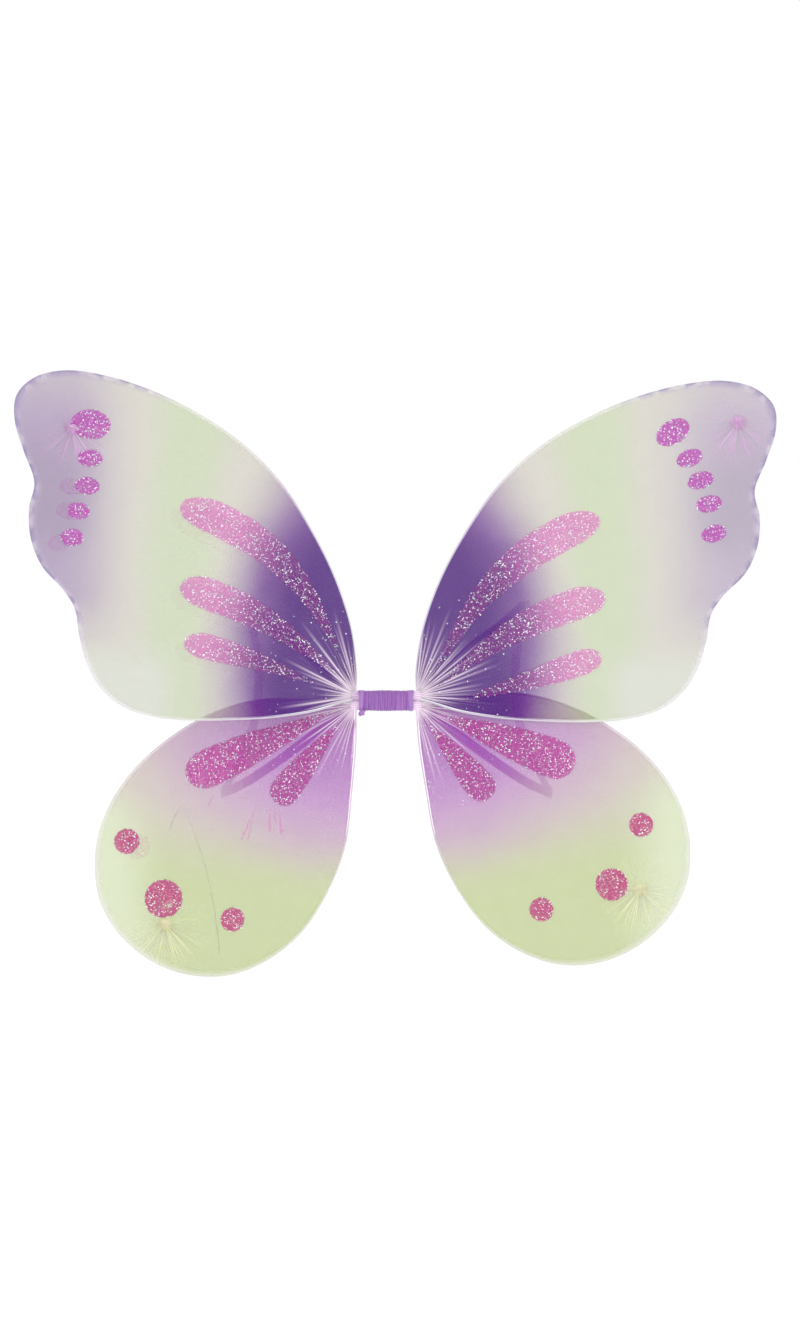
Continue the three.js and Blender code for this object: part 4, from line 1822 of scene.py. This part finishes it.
@dataclass
class ShoulderStrap:
    """A flat elastic strap that leaves the bar's end, goes round the shoulder and comes back.

    Attributes:
        side: The wearer's side that it is on.
        width: The band's width.
        thickness: The band's thickness.
        bar_end: The place of the bar's end, from its middle.
        upper_tuck: The depth of the upper end where it goes into the bar.
        lower_tuck: The depth of the lower end there.
    """

    side: Side
    width: float = 8.0
    thickness: float = 1.0
    bar_end: float = 23.4
    upper_tuck: float = -1.9
    lower_tuck: float = -3.2

    @cached_property
    def route(self) -> Array:
        """The strap's route on the wearer's right.

        Returns:
            Rows of x, y and z, then of the way that the band's outer face looks.
        """
        end, upper, lower = self.bar_end, self.upper_tuck, self.lower_tuck
        return np.array([
            [end - 4.8, upper, 0, 0, -1, 0], [end + 1.4, upper, 0.2, 0, -1, 0],
            [end + 4.8, upper + 1.3, 2.4, 0, -1, 0], [end + 9, 0.8, 7, 0, -1, 0],
            [44, 1.4, 17, 0, -1, 0], [74, 2.6, 46, 0, -1, 0], [100, 8, 66, 0, -0.9, 0.4],
            [115, 28, 80, 0, -0.4, 0.9], [121, 55, 86, 0, 0, 1], [123, 85, 84, 0, 0.3, 1],
            [122, 112, 72, 0, 0.8, 0.6], [118, 130, 48, 0, 1, 0.15], [116, 138, 15, 0, 1, 0],
            [120, 138, -20, 0, 1, 0], [130, 128, -52, 0.5, 0.8, 0], [141, 104, -74, 0.9, 0.4, 0],
            [146, 72, -82, 1, 0, 0], [140, 38, -80, 0.8, -0.6, 0], [120, 14, -70, 0.3, -1, 0],
            [90, 4, -50, 0, -1, 0], [46, 1.6, -17, 0, -1, 0], [end + 9, -0.5, -7, 0, -1, 0],
            [end + 4.8, lower + 1, -2.4, 0, -1, 0], [end + 1.4, lower, -0.2, 0, -1, 0],
            [end - 4.8, lower, 0, 0, -1, 0],
        ])

    def build(self) -> bpy.types.Object:
        """The band: a flat rounded section carried along its route.

        Across is the direction along the route times the way that the face looks, and out is
        across times along; a section's point is a share of the width across and of the
        thickness out, each a power of the turn's cosine or sine, which rounds the edges.

        Returns:
            The piece.
        """
        line, facing = (through(self.route[:, part], 14) for part in (slice(0, 3), slice(3, 6)))
        along = unit(np.gradient(line, axis=0))
        across = unit(np.cross(along, facing))
        out = np.cross(across, along)
        turn = np.linspace(0, 2 * math.pi, 28, endpoint=False)
        wide = np.sign(np.cos(turn)) * np.abs(np.cos(turn)) ** 0.45 * self.width / 2
        thick = np.sign(np.sin(turn)) * np.abs(np.sin(turn)) ** 0.8 * self.thickness / 2
        section = across[:, None] * wide[None, :, None] + out[:, None] * thick[None, :, None]
        grid = line[:, None] + section
        grid[..., 0] *= self.side.value
        length = lengths_along(line)
        flat = np.stack(np.broadcast_arrays(length[:, None], wide[None]), axis=-1) * MM
        name = self.side.name.lower()
        piece = Skin(f"{name}_elastic_strap", grid * MM, {"cloth": flat}).build()
        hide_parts(f"{name}_strap")
        log.info("%s strap is %.0f mm long", name, length[-1])
        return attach(dressed(piece, ELASTIC, "elastic"), "bar")


# ---- the studio ------------------------------------------------------------------------------
@dataclass(frozen=True)
class Backing(Finish):
    """The studio's floor: pale, matt and very slightly mottled."""

    def made(self) -> bpy.types.Material:
        """A near-white paint.

        Returns:
            The floor's material.
        """
        shader = Shader(self.name)
        mottle = shader.noise(shader.place(), 3.0, 2.0)
        return shader.finish(
            base_color=shader.mix(mottle * 0.3, dye(253, 253, 253), dye(249, 249, 250)),
            roughness=0.95,
            specular_ior_level=0.1,
            emission_color=dye(255, 255, 255),
            emission_strength=0.16,
        )


@dataclass
class Studio:
    """The floor, the light and the camera.

    Attributes:
        eye: The camera's place, behind the wearer and level with their back, in metres.
        lens: Its focal length in millimetres.
        floor_drop: How far the floor is below the bar.
    """

    eye: tuple[float, float, float] = (0.012, -2.6, 0.0284)
    lens: float = 81.53
    floor_drop: float = 0.72

    def build_camera(self) -> None:
        """The camera, looking straight along +Y."""
        data = bpy.data.cameras.new("camera")
        data.lens = self.lens
        data.clip_start, data.clip_end = 0.05, 100
        camera = bpy.data.objects.new("camera", data)
        camera.location = self.eye
        camera.rotation_euler = (math.pi / 2, 0, 0)
        bpy.context.scene.collection.objects.link(camera)
        bpy.context.scene.camera = camera

    def build_floor(self) -> None:
        """A wide round floor, a disc of rings whose middle lies under the bar."""
        radius = np.array([0.001, 1, 4, 14, 40])[:, None]
        turn = np.linspace(0, 2 * math.pi, 64, endpoint=False)
        thick = np.concatenate([radius, radius[::-1]])
        height = np.concatenate([0 * radius, 0 * radius - 0.02]) - self.floor_drop
        grid = np.stack([thick * np.cos(turn), thick * np.sin(turn), height + 0 * turn], axis=-1)
        floor = Skin("floor", grid).build()
        floor.data.materials.append(Backing("studio_floor").material())
        floor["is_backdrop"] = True

    def build_light(self) -> None:
        """A pale surrounding light with a large soft lamp to the upper left and one behind."""
        world = bpy.data.worlds.new("studio")
        world.use_nodes = True
        background = world.node_tree.nodes["Background"]
        background.inputs["Color"].default_value = (1.0, 1.0, 1.0, 1.0)
        background.inputs["Strength"].default_value = 1.0
        bpy.context.scene.world = world
        lamps = {
            "key": ((-1.6, -2.4, 1.9), 1.6, 22.0),
            "fill": ((2.2, -1.8, 0.6), 1.8, 9.0),
            "rim": ((0.6, 2.2, 1.8), 1.4, 10.0),
        }
        for name, (place, size, power) in lamps.items():
            data = bpy.data.lights.new(name, "AREA")
            data.shape, data.size, data.energy = "DISK", size, power
            lamp = bpy.data.objects.new(name, data)
            lamp.location = place
            aim = -lamp.location.normalized()
            lamp.rotation_mode = "QUATERNION"
            lamp.rotation_quaternion = aim.to_track_quat("-Z", "Y")
            bpy.context.scene.collection.objects.link(lamp)
        bpy.context.scene.view_settings.view_transform = "Standard"

    def build(self) -> None:
        """Sets up the whole studio."""
        self.build_camera()
        self.build_floor()
        self.build_light()


def wings() -> list[Wing]:
    """The four wings as they hang, each with its own bends, prints and tied toe.

    Returns:
        The wings.
    """
    upper_flat, lower_flat = (0.175, 0.285), (0.145, 0.225)
    left_upper = Wing(
        "left_upper", Side.LEFT, UPPER, sweep=21, roll=1.3, toe=(259, 216),
        nylon=UPPER_NYLON_DEEP, flat=upper_flat, seed=11,
        prints=stencilled(
            [drop(162, 159, 12, 26, 31, 25), drop(161, 91, 14, 14, 28, 10),
             drop(157, 43, 36, 9, 22, 3)],
            [oval(0, 243, 220, 35, 25), oval(0, 243, 192, 22, 15), oval(0, 245, 169, 22, 15),
             oval(0, 252, 148, 20, 15), oval(0, 257, 126, 20, 15)],
        ),
        ghosts=(
            ("oval_print_3", 13, -1), ("oval_print_4", 9, 0), ("oval_print_5", 11, -5),
            ("drop_print_1", 8, -7), ("drop_print_2", 8, -6), ("drop_print_3", 7, -5),
        ),
    )
    right_upper = Wing(
        "right_upper", Side.RIGHT, UPPER, sweep=8, roll=0.5, toe=(277, 228),
        nylon=UPPER_NYLON, flat=upper_flat, seed=22,
        prints=stencilled(
            [drop(158, 152, 14, 14, 31, 21), drop(163, 85, 18, 7, 28, 10),
             drop(160, 33, 38, -4, 22, -1)],
            [oval(30, 222, 221, 31, 21), oval(20, 236, 199, 23, 15), oval(15, 245, 180, 23, 15),
             oval(10, 252, 160, 22, 15), oval(15, 256, 135, 22, 15)],
        ),
    )
    left_lower = Wing(
        "left_lower", Side.LEFT, LOWER, sweep=13, roll=-4, toe=(178, -173),
        nylon=LOWER_NYLON, flat=lower_flat, seed=33,
        prints=stencilled(
            [drop(151, -51, 21, -4, 33, 0), drop(76, -78, 15, -13, 26, 0)],
            [oval(0, 206, -100, 22, 22), oval(0, 178, -151, 33, 33), oval(0, 120, -174, 21, 21)],
        ),
        ghosts=(("oval_print_1", -9, -5),),
        smears=(
            Patch((82.6, -102), (80.5, -80), 2.6), Patch((72, -109), (74, -80), 2.8),
            Patch((77, -96), (77, -80), 1.8), Patch((107.6, -107), (91, -77), 2.2),
            Patch((102, -108), (96, -88), 1.6), Patch((102, -62), (97, -44), 2.0),
            Patch((134, -76), (129, -66), 1.8),
        ),
        worn=(174, -157),
        folds=(Patch((133, -205), (156, -72), 1.7, -6), Patch((169, -94), (156, -72), 1.4, 1)),
    )
    right_lower = Wing(
        "right_lower", Side.RIGHT, LOWER, sweep=8, roll=0, toe=(192, -156),
        nylon=LOWER_NYLON, flat=lower_flat, seed=44,
        prints=stencilled(
            [drop(136, -52, 20, -8, 34, 0), drop(64, -79, 10, -15, 26, 0)],
            [oval(0, 193, -101, 21, 21), oval(0, 168, -152, 28, 28), oval(0, 108, -174, 21, 21)],
        ),
    )
    return [left_upper, right_upper, left_lower, right_lower]


def main() -> None:
    """Builds the studio, the bar, the straps and the wings."""
    logging.basicConfig(level=logging.INFO, format="%(name)s: %(message)s")
    frame_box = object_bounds()
    Studio().build()
    CentreBar().build()
    for side in Side:
        ShoulderStrap(side).build()
    for wing in wings():
        wing.build()
    boxes = {"frame": frame_box, "visual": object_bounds()}


if __name__ == "__main__":
    main()
